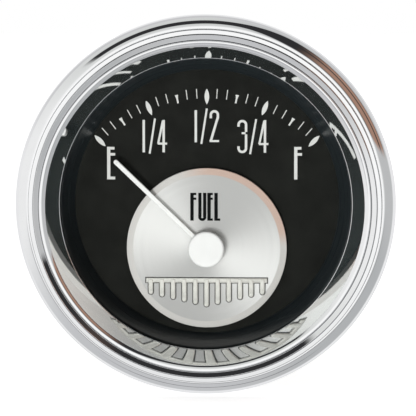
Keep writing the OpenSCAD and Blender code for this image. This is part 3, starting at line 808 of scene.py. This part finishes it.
@dataclass
class BezelSet:
    """The chrome ring over the lens and the black spacer behind it. Points are radius and height."""

    sheet: float = 0.6
    outer_r: float = 30.15
    lip: Point = (23.2, 5.2)
    lip_edge_r: float = 0.13
    bead: Point = (25.95, 9.34)
    bead_r: float = 1.11
    bead_lift: float = 0.63
    crest_r: float = 0.12
    crease_r: float = 0.08
    cove: Point = (26.2, 9.8)
    ledge: Point = (26.95, 10.23)
    band: Point = (27.16, 9.82)
    band_end: Point = (27.72, 9.8)
    groove: Point = (27.88, 8.1)
    roll: Point = (28.05, 6.1)
    roll_r: float = 2.1
    rear_r: float = 0.75
    rear_lip_r: float = 27.7
    bezel_steps: int = 256
    window_r: float = 21.3
    spacer_front_r: float = 23.05
    spacer_front_h: float = 3.5
    spacer_wall: float = 1.6
    spacer_out_r: float = 29.3
    spacer_seat_r: float = 24.3
    spacer_brim: Point = (1.4, 2.8)
    dial_h: float = -0.8

    def ring(self) -> None:
        """Spins the bezel's sheet, from its lip on the lens over its steps to its rear lip."""
        b = Bench.bow
        t, e, c = self.sheet, self.lip_edge_r, self.crease_r
        crest_h = self.bead[1] + self.bead_r * self.bead_lift
        front = [*b((self.lip[0] + e, self.lip[1] + e * 1.2), e, 250, 105, 8),
                 *b(self.bead, self.bead_r, 140, 90, 20, self.bead_lift),
                 *b((self.bead[0], crest_h - self.crest_r), self.crest_r, 80, 10, 5),
                 (self.cove[0] - 0.06, self.cove[1] + 0.04), self.cove,
                 *b((self.ledge[0], self.ledge[1] - c), c, 120, 0, 5),
                 (self.band[0] - 0.05, self.band[1] + 0.06), self.band,
                 *b((self.band_end[0], self.band_end[1] - c), c, 92, 0, 5),
                 (self.groove[0] - 0.06, self.groove[1] + 0.12), self.groove]
        front += b(self.roll, self.roll_r, 93, 0, 44)
        front += b((self.outer_r - self.rear_r, self.rear_r), self.rear_r, 0, -90, 8)
        back = [(self.rear_lip_r, 0), (self.rear_lip_r, t), (self.outer_r - t, t)]
        back += b(self.roll, self.roll_r - t, 0, 90, 10)
        back += [(self.band_end[0] - 0.4, self.roll[1] + self.roll_r - t), (self.band[0], self.band[1] - t),
                 (self.bead[0] + 0.2, self.bead[1] - t * 0.1), (self.lip[0] + t * 1.35, self.lip[1])]
        mesh = Bench.turn(Bench.guard(front + back), steps=self.bezel_steps)
        Bench.finish(mesh, "bezel_ring", "housing", Kind.CHROME, "bezel")

    def spacer(self) -> None:
        """Spins the black spacer that slopes in to the dial."""
        low, high = self.spacer_brim
        top = self.spacer_front_h
        section = [(self.window_r, self.dial_h), (self.window_r + self.spacer_wall, self.dial_h),
                   (self.spacer_front_r + self.spacer_wall, low), (self.spacer_out_r, low), (self.spacer_out_r, high),
                   (self.spacer_seat_r, high), (self.spacer_seat_r, top), (self.spacer_front_r + 0.12, top),
                   (self.spacer_front_r, top - 0.1), (self.window_r + 0.03, self.dial_h + 0.12)]
        mesh = Bench.turn(Bench.guard(section))
        Bench.finish(mesh, "spacer_ring", "housing", Kind.SPACER, "depth_ring", smooth=20)

    def build(self) -> None:
        """Builds every piece."""
        self.ring()
        self.spacer()


@dataclass
class DialPrint:
    """The printed scale and numbers on the dial. Places are across and up from the gauge's axis.

    Every sixth mark is a leaf, every third one between the leaves has a cap, and the rest are thin ticks.
    """

    pivot: Point = (0.0, -7.45)
    face_h: float = -0.8
    ink_t: float = 0.03
    stroke: float = 0.52
    slim: float = 0.39
    slash: float = 0.31
    leaf_r: float = 24.38
    leaf_l: float = 2.5
    leaf_w: float = 0.74
    tick_in: float = 24.1
    tick_out: float = 25.65
    tick_w: float = 0.135
    capped_in: float = 23.75
    capped_out: float = 25.1
    capped_w: float = 0.27
    capped_root_w: float = 0.36
    cap_turn: float = 0.58
    cap_w: float = 0.22
    turn_each: float = 3.75
    overlap: float = 0.02
    arm_w: float = 0.84
    thin_arm_w: float = 0.8
    slant_w: float = 0.85
    mesh: bmesh.types.BMesh = field(default_factory=bmesh.new)
    strokes: int = 0

    def ink(self) -> tuple[float, float]:
        """Heights of the next stroke's faces, each a little prouder than the last so that none coincide."""
        self.strokes += 1
        return self.face_h, self.face_h + self.ink_t + 0.002 * (self.strokes % 7)

    def at(self, radius: float, angle: float) -> Point:
        """The point at a radius and at an angle to the right of upright about the pointer's axis."""
        turn = math.radians(angle)
        return (self.pivot[0] + radius * math.sin(turn), self.pivot[1] + radius * math.cos(turn))

    def line(self, start: Point, end: Point, width: float = 0.0) -> None:
        """Prints one straight stroke."""
        Bench.bar(self.mesh, start, end, width or self.slim, *self.ink())

    def curve(self, centre: Point, radius: float, start: float, end: float) -> None:
        """Prints one bent stroke."""
        Bench.sweep(self.mesh, centre, radius, start, end, self.slim, *self.ink())

    def scale(self) -> None:
        """Prints the leaves, the thin ticks and the capped marks between them."""
        for i in range(-12, 13):
            angle = i * self.turn_each
            if i % 6 == 0:
                Bench.leaf(self.mesh, self.at(self.leaf_r, angle), angle, self.leaf_l, self.leaf_w, *self.ink())
            elif i % 3 == 0:
                top = self.capped_out
                left, right = angle - self.cap_turn, angle + self.cap_turn
                self.line(self.at(self.capped_in, angle), self.at(top, angle), self.capped_w)
                self.line(self.at(top - 0.1, left), self.at(top - 0.1, right), self.cap_w)
                self.line(self.at(top - 0.5, angle), self.at(top, angle), self.capped_root_w)
            else:
                self.line(self.at(self.tick_in, angle), self.at(self.tick_out, angle), self.tick_w)

    def letter_e(self, left: float, low: float, high: float, reach: float, foot: bool) -> None:
        """Prints a tall E, or an F where it has no foot."""
        s = self.stroke
        self.line((left + s / 2, low), (left + s / 2, high), s)
        self.line((left, high - s * 0.42), (left + reach * 0.92, high - s * 0.42), s * self.arm_w)
        self.line((left, high - 1.2), (left + reach, high - 1.2), s * self.thin_arm_w)
        if foot:
            self.line((left, low + s * 0.42), (left + reach, low + s * 0.42), s * self.arm_w)

    def four(self, left: float, stem: float, low: float, high: float) -> None:
        """Prints a 4 whose slanted stroke meets its stem at the top."""
        bar = low + 1.4
        self.line((stem, low), (stem, high))
        self.line((left + 0.2, bar), (stem + 0.55, bar), self.slim * self.slant_w)
        self.line((left + 0.25, bar), (stem - 0.12, high - 0.12), self.slim * self.slant_w)

    def two(self, left: float, right: float, low: float, high: float) -> None:
        """Prints a 2 with a narrow bow."""
        s = self.slim
        bow = (right - left - s) / 2
        middle = (left + right) / 2
        top = high - s / 2 - bow
        self.curve((middle, top), bow, 0, 180)
        self.line((left + s / 2, top + self.overlap), (left + s / 2, top - 0.55))
        self.line((right - s / 2, top + self.overlap), (right - s / 2, top - 0.5))
        self.line((right - s / 2, top - 0.35), (left + s / 2, low + 0.2))
        self.line((left, low + s * 0.42), (right, low + s * 0.42), s * self.arm_w)

    def three(self, left: float, right: float, low: float, high: float) -> None:
        """Prints a 3 with two narrow bows."""
        s = self.slim
        bow = (right - left - s) / 2
        middle = (left + right) / 2
        waist = high - (high - low) * 0.4
        upper, lower = high - s / 2 - bow, low + s / 2 + bow
        self.curve((middle, upper), bow, 0, 180)
        self.line((left + s / 2, upper + self.overlap), (left + s / 2, upper - 0.3))
        self.line((right - s / 2, upper + self.overlap), (right - s / 2, waist + 0.2))
        self.line((middle - 0.1, waist), (right - s * 0.7, waist), s * self.thin_arm_w)
        self.line((right - s / 2, waist - 0.2), (right - s / 2, lower - self.overlap))
        self.curve((middle, lower), bow, 180, 360)
        self.line((left + s / 2, lower - self.overlap), (left + s / 2, lower + 0.3))

    def numbers(self) -> None:
        """Prints the marks from empty to full."""
        self.letter_e(-16.1, 3.55, 8.8, 1.3, True)
        self.letter_e(14.05, 3.6, 8.85, 1.25, False)
        self.line((-10.17, 7.94), (-10.17, 13.15))
        self.line((-9.23, 7.73), (-8.36, 13.38), self.slash)
        self.four(-8.1, -6.96, 7.94, 13.15)
        self.line((-1.78, 9.57), (-1.78, 14.72))
        self.line((-0.89, 9.31), (0.0, 15.0), self.slash)
        self.two(0.44, 1.97, 9.6, 14.75)
        self.three(4.9, 6.5, 7.83, 13.19)
        self.line((6.96, 7.67), (7.92, 13.3), self.slash)
        self.four(8.18, 9.35, 7.9, 13.15)

    def build(self) -> None:
        """Prints the whole dial."""
        self.scale()
        self.numbers()
        Bench.finish(self.mesh, "dial_scale_print", "housing", Kind.SCALE_INK)


@dataclass
class CentreDisc:
    """The spun disc round the pointer's axis, its word and its plain motif of bars.

    A letter with arms has its left and right ends and its arms: top, middle and base.
    """

    pivot: Point = (0.0, -7.45)
    hole_r: float = 1.1
    face_r: float = 11.85
    outer_r: float = 12.9
    face_h: float = 0.4
    dial_h: float = -0.8
    sheet: float = 0.35
    shoulder_r: float = 0.08
    shoulder_drop: float = 0.36
    disc_steps: int = 224
    bars: int = 11
    pitch: float = 1.8
    bar_w: float = 0.8
    bar_l: float = 3.9
    bar_step: float = 0.4
    level_drop: float = 5.2
    bar_t: float = 0.35
    bar_edge: float = 0.16
    bar_steps: int = 24
    level_back: float = 0.05
    outline: float = 0.22
    outline_t: float = 0.06
    word_h: Point = (-3.0, 1.5)
    word_w: float = 0.46
    word_t: float = 0.02
    arm_w: float = 0.8
    armed_letters: tuple[tuple[float, float, str], ...] = ((-2.63, -1.66, "tm"), (0.11, 1.0, "tmb"), (1.24, 2.2, "b"))
    bowed_letter: Point = (-1.34, -0.05)
    bowed_r: float = 0.42

    def disc(self) -> None:
        """Spins the disc with its soft shoulder and sloping rim."""
        t, r = self.sheet, self.shoulder_r
        section = [(self.hole_r, self.face_h), (self.face_r, self.face_h),
                   *Bench.bow((self.outer_r - r, self.face_h - self.shoulder_drop), r, 76, 0, 4),
                   (self.outer_r, self.dial_h), (self.outer_r - t, self.dial_h), (self.outer_r - t, -0.1),
                   (self.face_r - t, self.face_h - t), (self.hole_r, self.face_h - t)]
        mesh = Bench.turn(Bench.guard(section), self.pivot, self.disc_steps)
        Bench.finish(mesh, "spun_disc", "housing", Kind.DISC, "centre_disc")

    def word(self) -> None:
        """Prints the word on the disc in tall black strokes."""
        mesh = bmesh.new()
        low, high = self.word_h
        w, base = self.word_w, self.face_h
        tops = (base + self.word_t + 0.002 * i for i in range(20))
        for left, right, arms in self.armed_letters:
            stem = left + w / 2 + 0.05
            Bench.bar(mesh, (stem, low), (stem, high), w + 0.1, base, next(tops))
            for arm, up in (("t", high - w * 0.4), ("m", high - 0.95), ("b", low + w * 0.4)):
                if arm in arms:
                    Bench.bar(mesh, (left, up), (right, up), w * self.arm_w, base, next(tops))
        for x in (self.bowed_letter[0] + w / 2 + 0.03, self.bowed_letter[1] - w / 2 - 0.03):
            Bench.bar(mesh, (x, low + 0.58), (x, high), w + 0.06, base, next(tops))
        Bench.sweep(mesh, (sum(self.bowed_letter) / 2, low + 0.6), self.bowed_r, 180, 360, w, base, next(tops))
        Bench.finish(mesh, "disc_word_print", "housing", Kind.WORD_INK)

    def row(self, wider: float, low: float, high: float) -> bmesh.types.BMesh:
        """The level bar and the round-ended bars that hang from it.

        Args:
            wider: What is added to each bar's width.
            low: Height of their rear faces.
            high: Height of their front faces.

        Returns:
            The mesh.
        """
        mesh = bmesh.new()
        middle = (self.bars - 1) / 2
        half = middle * self.pitch + self.bar_w + wider / 2
        top = self.pivot[1] - self.level_drop
        width = self.bar_w + wider
        Bench.bar(mesh, (-half, top), (half, top), width, low, high - self.level_back)
        for i in range(self.bars):
            x = (i - middle) * self.pitch
            length = self.bar_l - abs(i - middle) * self.bar_step
            Bench.bar(mesh, (x, top + self.bar_w * 0.3), (x, top - length), width, low, high)
            Bench.peg(mesh, (x, top - length), width, (low + high) / 2, high - low - 0.01, self.bar_steps)
        return mesh

    def motif(self) -> None:
        """Builds the bars with rounded edges over a dark outline that paints the shade round them."""
        mesh = self.row(0.0, self.face_h, self.face_h + self.bar_t)
        Bench.round_front(mesh, self.face_h + self.bar_t * 0.5, self.bar_edge)
        Bench.finish(mesh, "motif_bars", "housing", Kind.MOTIF, "disc_ornament", smooth=50)
        # Painted shade: a slightly wider dark copy of the row, just proud of the disc.
        mesh = self.row(self.outline, self.face_h, self.face_h + self.outline_t)
        Bench.finish(mesh, "motif_shade_outline", "housing", Kind.MOTIF_SHADE)

    def build(self) -> None:
        """Builds every piece."""
        self.disc()
        self.word()
        self.motif()


@dataclass
class PointerSet:
    """The pointer and the cap over its hub, at rest at empty."""

    pivot: Point = (0.0, -7.45)
    rest: float = 46.2
    length: float = 20.5
    width: float = 0.75
    low: float = 1.1
    high: float = 1.55
    edge: float = 0.12
    tip_steps: int = 32
    root_r: float = 1.4
    ring_in_r: float = 1.53
    ring_out_r: float = 1.9
    ring_steps: int = 64
    cap_r: float = 2.9
    cap_wall: float = 0.45
    cap_low: float = 0.75
    cap_high: float = 2.7
    cap_edge: float = 0.42
    cap_steps: int = 128

    def pose(self) -> Matrix:
        """The turn about the pointer's axis from upright to its rest."""
        turn = Matrix.Rotation(-math.radians(self.rest), 4, "Y")
        return Matrix.Translation(Bench.axis(self.pivot)) @ turn

    def needle(self) -> None:
        """Shapes the needle with softened edges, a round tip and its ring on the hub."""
        mesh = bmesh.new()
        tip = self.length - self.width / 2
        Bench.bar(mesh, (0, self.root_r), (0, tip - 0.02), self.width, self.low, self.high)
        Bench.peg(mesh, (0, tip), self.width, (self.low + self.high) / 2, self.high - self.low, self.tip_steps)
        Bench.round_front(mesh, self.high - 0.01, self.edge)
        bmesh.ops.transform(mesh, verts=mesh.verts, matrix=self.pose())
        section = [(self.ring_in_r, self.low), (self.ring_out_r, self.low), (self.ring_out_r, self.high),
                   (self.ring_in_r, self.high)]
        Bench.join(mesh, Bench.turn(section, self.pivot, self.ring_steps))
        Bench.finish(mesh, "needle", "pointer", Kind.NEEDLE, "pointer_blade", smooth=50)

    def cap(self) -> None:
        """Spins the cap, with its rounded shoulder and thin wall."""
        r, e, w = self.cap_r, self.cap_edge, self.cap_wall
        section = [(0, self.cap_high), *reversed(Bench.bow((r - e, self.cap_high - e - 0.03), e, 0, 86, 12)),
                   (r, self.cap_low + 0.06), (r - 0.06, self.cap_low), (r - w + 0.05, self.cap_low),
                   (r - w, self.cap_low + 0.06), (r - w, self.cap_high - w), (0, self.cap_high - w)]
        mesh = Bench.turn(section, self.pivot, self.cap_steps)
        Bench.finish(mesh, "hub_cap_shell", "pointer", Kind.CAP, "hub_cap")

    def build(self) -> None:
        """Builds every piece."""
        self.needle()
        self.cap()


@dataclass
class Movement:
    """The wound coils inside the case, turn by turn."""

    pivot: Point = (0.0, -7.45)
    core: float = 6.6
    coil_in: float = 1.5
    coil_w: float = 4.5
    wire_r: float = 0.2
    wire_sides: int = 6
    layers: int = 3
    layer_pitch: float = 1.9
    turns: int = 11
    bend: float = 0.5
    winding_t: float = 1.2

    def loop(self, mesh: bmesh.types.BMesh, across: float, reach: float, front: float, back: float) -> None:
        """Winds one turn of wire round the core, in a plane at right angles to X.

        Args:
            mesh: What it is added to.
            across: The plane's place along X.
            reach: Half the turn's height.
            front: Height of its front run.
            back: Height of its back run.
        """
        half, depth = reach - self.bend, (front - back) / 2 - self.bend
        middle = -(front + back) / 2
        place = Vector((across, middle - depth - self.bend, -half)) * MM
        start = bmesh.ops.create_circle(mesh, cap_ends=False, segments=self.wire_sides,
                                        radius=self.wire_r * MM, matrix=Matrix.Translation(place))
        edges = list({e for v in start["verts"] for e in v.link_edges})
        for dy, dz, length in ((-1, 1, half), (1, 1, depth), (1, -1, half), (-1, -1, depth)):
            straight = (0, 0, 2 * length * dz * MM) if dy * dz == -1 else (0, 2 * length * dy * MM, 0)
            made = bmesh.ops.extrude_edge_only(mesh, edges=edges)["geom"]
            dots = [g for g in made if isinstance(g, bmesh.types.BMVert)]
            bmesh.ops.translate(mesh, verts=dots, vec=straight)
            edges = [g for g in made if isinstance(g, bmesh.types.BMEdge)]
            corner = Vector((across, middle + depth * dy, half * dz)) * MM
            made = bmesh.ops.spin(mesh, geom=edges, cent=corner, axis=(1, 0, 0), angle=-math.pi / 2, steps=3)
            edges = [g for g in made["geom_last"] if isinstance(g, bmesh.types.BMEdge)]

    def coil(self, name: str, node: str, front: float, back: float, turned: bool) -> None:
        """Winds both halves of one coil, layer on layer.

        Args:
            name: The piece's name.
            node: The CAD node it stands for.
            front: Height of the innermost layer's front run.
            back: Height of its back run.
            turned: Whether the coil lies across the other one.
        """
        mesh = bmesh.new()
        for side in (-1, 1):
            for layer in range(self.layers):
                out = self.wire_r + layer * self.wire_r * self.layer_pitch
                for i in range(self.turns):
                    inward = i * (self.coil_w - 2 * self.wire_r) / (self.turns - 1)
                    across = side * (self.coil_in + self.wire_r + inward)
                    self.loop(mesh, across, self.core + out, front + out, back - out)
        Bench.clean(mesh)
        turn = Matrix.Rotation(math.radians(90 if turned else 0), 4, "Y")
        bmesh.ops.transform(mesh, verts=mesh.verts, matrix=Matrix.Translation(Bench.axis(self.pivot)) @ turn)
        Bench.finish(mesh, name, "housing", Kind.COPPER, node, smooth=80)

    def build(self) -> None:
        """Builds both coils from the fronts and backs of the CAD's solids."""
        for name, node, turned in (("inner_winding", "inner_coil", False), ("outer_winding", "outer_coil", True)):
            low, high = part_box(node)
            self.coil(name, node, -low.y / MM - self.winding_t, -high.y / MM + self.winding_t, turned)


@dataclass
class RearHardware:
    """The case, the terminals, the clamp and the lamp holder behind the panel."""

    terminal_spots: tuple[Point, ...] = ((-14.0, -15.0), (14.0, -15.0), (0.0, -20.0))
    stud_spots: tuple[Point, ...] = ((-17.0, 0.0), (17.0, 0.0))
    stud_r: float = 2.0
    stud_steps: int = 48
    pitch: float = 0.7
    thread_d: float = 0.36
    terminal_root: tuple[Point, ...] = ((0, -20.5), (1.2, -20.5), (1.2, -22.1), (3.2, -22.1), (3.2, -23.3),
                                        (2.0, -23.3), (2.0, -30.0), (0, -30.0))
    terminal_thread: Point = (-29.9, -45.0)
    stud_head: tuple[Point, ...] = ((0, -28.0), (3.5, -28.0), (3.8, -28.25), (3.8, -29.2), (0, -29.2))
    stud_thread: Point = (-28.8, -57.0)

    def threads(self, name: str, node: str, kind: Kind, spots: tuple[Point, ...], root: tuple[Point, ...],
                ends: Point) -> None:
        """Cuts threads on one set of studs, over their plain inner ends.

        Args:
            name: The piece's name.
            node: The CAD node it stands for.
            kind: Its finish.
            spots: The studs' axes, across and up.
            root: The section of a plain end, as radius and height.
            ends: Heights of the thread's ends.
        """
        mesh = bmesh.new()
        for spot in spots:
            Bench.join(mesh, Bench.turn(list(root), spot, self.stud_steps))
            Bench.join(mesh, Bench.thread(self.stud_r - 0.01, self.thread_d, self.pitch, *ends, spot))
        Bench.finish(mesh, name, "housing", kind, node, smooth=28)

    def pressings(self) -> None:
        """Rounds the edges of the pressed, turned and moulded pieces."""
        for node, name, body, kind, width in (
                ("case_can", "drawn_case", "housing", Kind.ZINC, 0.18),
                ("terminal_nuts", "hex_nuts", "housing", Kind.BRASS, 0.22),
                ("insulating_washers", "fibre_washers", "housing", Kind.BLACK_PLASTIC, 0.1),
                ("terminal_lock_washers", "lock_washers", "housing", Kind.STEEL, 0.08),
                ("stud_spacers", "terminal_spacers", "housing", Kind.NATURAL, 0.1),
                ("clamp_bracket", "clamp_strap", "clamp", Kind.STRAW, 0.2),
                ("clamp_washers", "plain_washers", "clamp", Kind.STEEL, 0.1),
                ("thumb_nut_left", "knurled_nut_left", "left_nut", Kind.BRASS, 0.05),
                ("thumb_nut_right", "knurled_nut_right", "right_nut", Kind.BRASS, 0.05),
                ("lamp_holder", "bulb_holder", "lamp", Kind.WHITE_RING, 0.12),
                ("lamp_contacts", "blade_contacts", "lamp", Kind.BRASS, 0.08)):
            Bench.finish(Bench.soften(node, width), name, body, kind, node)

    def build(self) -> None:
        """Builds every piece."""
        self.threads("terminal_threads", "terminal_studs", Kind.BRASS, self.terminal_spots, self.terminal_root,
                     self.terminal_thread)
        self.threads("mounting_threads", "mounting_studs", Kind.STEEL, self.stud_spots, self.stud_head,
                     self.stud_thread)
        self.pressings()


@dataclass
class CarriedNodes:
    """The CAD nodes that stay as they are and only get their finish."""

    finishes: dict[str, Kind] = field(default_factory=lambda: {
        "lens": Kind.GLASS, "lens_gasket": Kind.RUBBER, "dial_plate": Kind.DIAL, "dial_screws": Kind.STEEL,
        "support_ring": Kind.WHITE_RING, "pointer_hub": Kind.BRASS, "pointer_staff": Kind.STEEL,
        "rotor_magnet": Kind.FERRITE, "stop_pin": Kind.STEEL, "front_bush": Kind.BRASS, "rear_bush": Kind.BRASS,
        "front_bobbin": Kind.NATURAL, "rear_bobbin": Kind.NATURAL, "return_magnet": Kind.FERRITE,
        "shield_can": Kind.ZINC, "circuit_board": Kind.BOARD, "board_screws": Kind.STEEL,
        "range_resistor": Kind.RESISTOR, "lamp_bulb": Kind.BULB})

    def build(self) -> None:
        """Gives every remaining node its material."""
        for name, kind in self.finishes.items():
            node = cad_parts[name]
            if not node.material_slots:
                node.data.materials.append(None)
            for place in node.material_slots:
                place.link = "OBJECT"
                place.material = kind.value.material()
            LOG.info("%s: carried over, %s", name, kind.value.name)


@dataclass
class Studio:
    """The pale floor, the soft light and the camera."""

    floor_z: float = -30.3
    distance: float = 375.0
    width: float = 65.75
    azimuth: float = 2.0
    elevation: float = 5.0
    centre: tuple[float, float, float] = (0.455, -7.0, -0.37)
    sensor: float = 36
    key_place: tuple[float, float, float] = (-0.15, -0.6, -0.15)
    key_size: float = 0.12
    key_power: float = 4.6
    floor_size: float = 4.0
    floor_glow: float = 0.7
    line_dark: Colour = (0.10, 0.10, 0.11)
    band_dark: Colour = (0.03, 0.03, 0.032)
    band_brown: Colour = (0.38, 0.23, 0.17)

    def floor(self) -> None:
        """Lays a wide pale floor under the gauge."""
        mesh = bmesh.new()
        bmesh.ops.create_grid(mesh, x_segments=2, y_segments=2, size=self.floor_size,
                              matrix=Matrix.Translation((0, 0, self.floor_z * MM)))
        data = Bench.settle(mesh, "floor")
        sheet = NodeSheet(bpy.data.materials.new("pale_floor"), "OutputMaterial")
        *_, spot = sheet.spot()
        sheet.surface({"Base Color": sheet.blend(sheet.noise(spot, 0.01), (0.86, 0.86, 0.86), (0.9, 0.9, 0.9)),
                       "Roughness": 0.9, "Emission Color": (1, 1, 1), "Emission Strength": self.floor_glow})
        data.materials.append(sheet.owner)
        piece = Bench.place(data, "floor")
        piece.visible_glossy = False
        piece.visible_shadow = False

    def surroundings(self) -> None:
        """Paints the soft room of light that the chrome mirrors.

        It has a dark band with a brown core above and beside the front, and two thin dark lines low before it.
        """
        world = bpy.data.worlds.new("soft_room")
        bpy.context.scene.world = world
        sheet = NodeSheet(world, "OutputWorld")
        parts = sheet.add("SeparateXYZ", None, {0: sheet.add("TexCoord").outputs["Generated"]})
        x, y, z = (Value(sheet, s) for s in parts.outputs)
        front = 0.0 - y
        reach = (x * x + z * z).root() + 0.001
        across, up, down = x / reach, z / reach, 0.0 - z / reach
        back = y.step(0.05, 0.2)
        grey = (0.88, 0.88, 0.88)
        for mask, shade in (
                (up.step(0.2, 0.9), (0.66, 0.67, 0.66)),
                (down.step(0.2, 0.8), (0.56, 0.565, 0.58)),
                (across.step(-0.1, 0.5), (0.52, 0.525, 0.53)),
                (across.step(0.2, 0.6) * down.step(0.1, 0.5), (0.46, 0.47, 0.48)),
                (front.hump(0.925, 0.935, 0.945, 0.955) * down.step(0.25, 0.5), self.line_dark),
                (front.hump(0.54, 0.555, 0.60, 0.615) * down.step(0.8, 0.95), self.line_dark),
                (back, (0.85, 0.85, 0.86)),
                (back * (1.0 - y.step(0.5, 0.7)) * up.step(0.1, 0.6), (0.6, 0.6, 0.61))):
            grey = sheet.blend(mask, grey, shade)
        room = sheet.blend(reach.step(0.12, 0.4), (1.0, 1.0, 1.0), grey)
        right = across.step(0.1, 0.5)
        rise, fall = (front + 0.28 * right).step(0.36, 0.42), (front - right * 0.14).step(0.79, 0.84)
        band = rise * (1.0 - fall) * z.step(0.0, 0.05) * across.hump(-0.74, -0.66, 0.965, 0.985)
        core = front.hump(0.14, 0.2, 0.90, 0.94) * across.step(0.5, 0.74) * (1.0 - front.hump(0.49, 0.52, 0.61, 0.64))
        colour = sheet.blend(band, room, sheet.blend(core, self.band_dark, self.band_brown))
        sheet.end(sheet.add("Background", None, {"Color": colour, "Strength": 1.0}))

    def key(self) -> None:
        """Hangs one soft lamp that faces the gauge and stays out of its reflections."""
        data = bpy.data.lights.new("key", "AREA")
        data.size = self.key_size
        data.energy = self.key_power
        lamp = Bench.place(data, "key")
        lamp.location = self.key_place
        lamp.rotation_euler = (-Vector(self.key_place)).to_track_quat("-Z", "Y").to_euler()
        lamp.visible_glossy = False

    def camera(self) -> None:
        """Sets the long lens a little above and to the right of the gauge's axis."""
        data = bpy.data.cameras.new("camera")
        data.sensor_width = self.sensor
        data.lens = self.sensor * self.distance / self.width
        data.clip_start, data.clip_end = 0.01, 20
        camera = Bench.place(data, "camera")
        a, e = math.radians(self.azimuth), math.radians(self.elevation)
        back = Vector((math.sin(a) * math.cos(e), -math.cos(a) * math.cos(e), math.sin(e)))
        camera.location = (Vector(self.centre) + back * self.distance) * MM
        camera.rotation_euler = (-back).to_track_quat("-Z", "Y").to_euler()
        bpy.context.scene.camera = camera

    def build(self) -> None:
        """Sets the stage."""
        self.floor()
        self.surroundings()
        self.key()
        self.camera()
        bpy.context.scene.view_settings.view_transform = "Standard"


def main() -> None:
    """Builds the gauge and its stage."""
    for part in (Studio(), BezelSet(), DialPrint(), CentreDisc(), PointerSet(), Movement(), RearHardware(),
                 CarriedNodes()):
        LOG.info("%s", type(part).__name__)
        part.build()


if __name__ == "__main__":
    main()
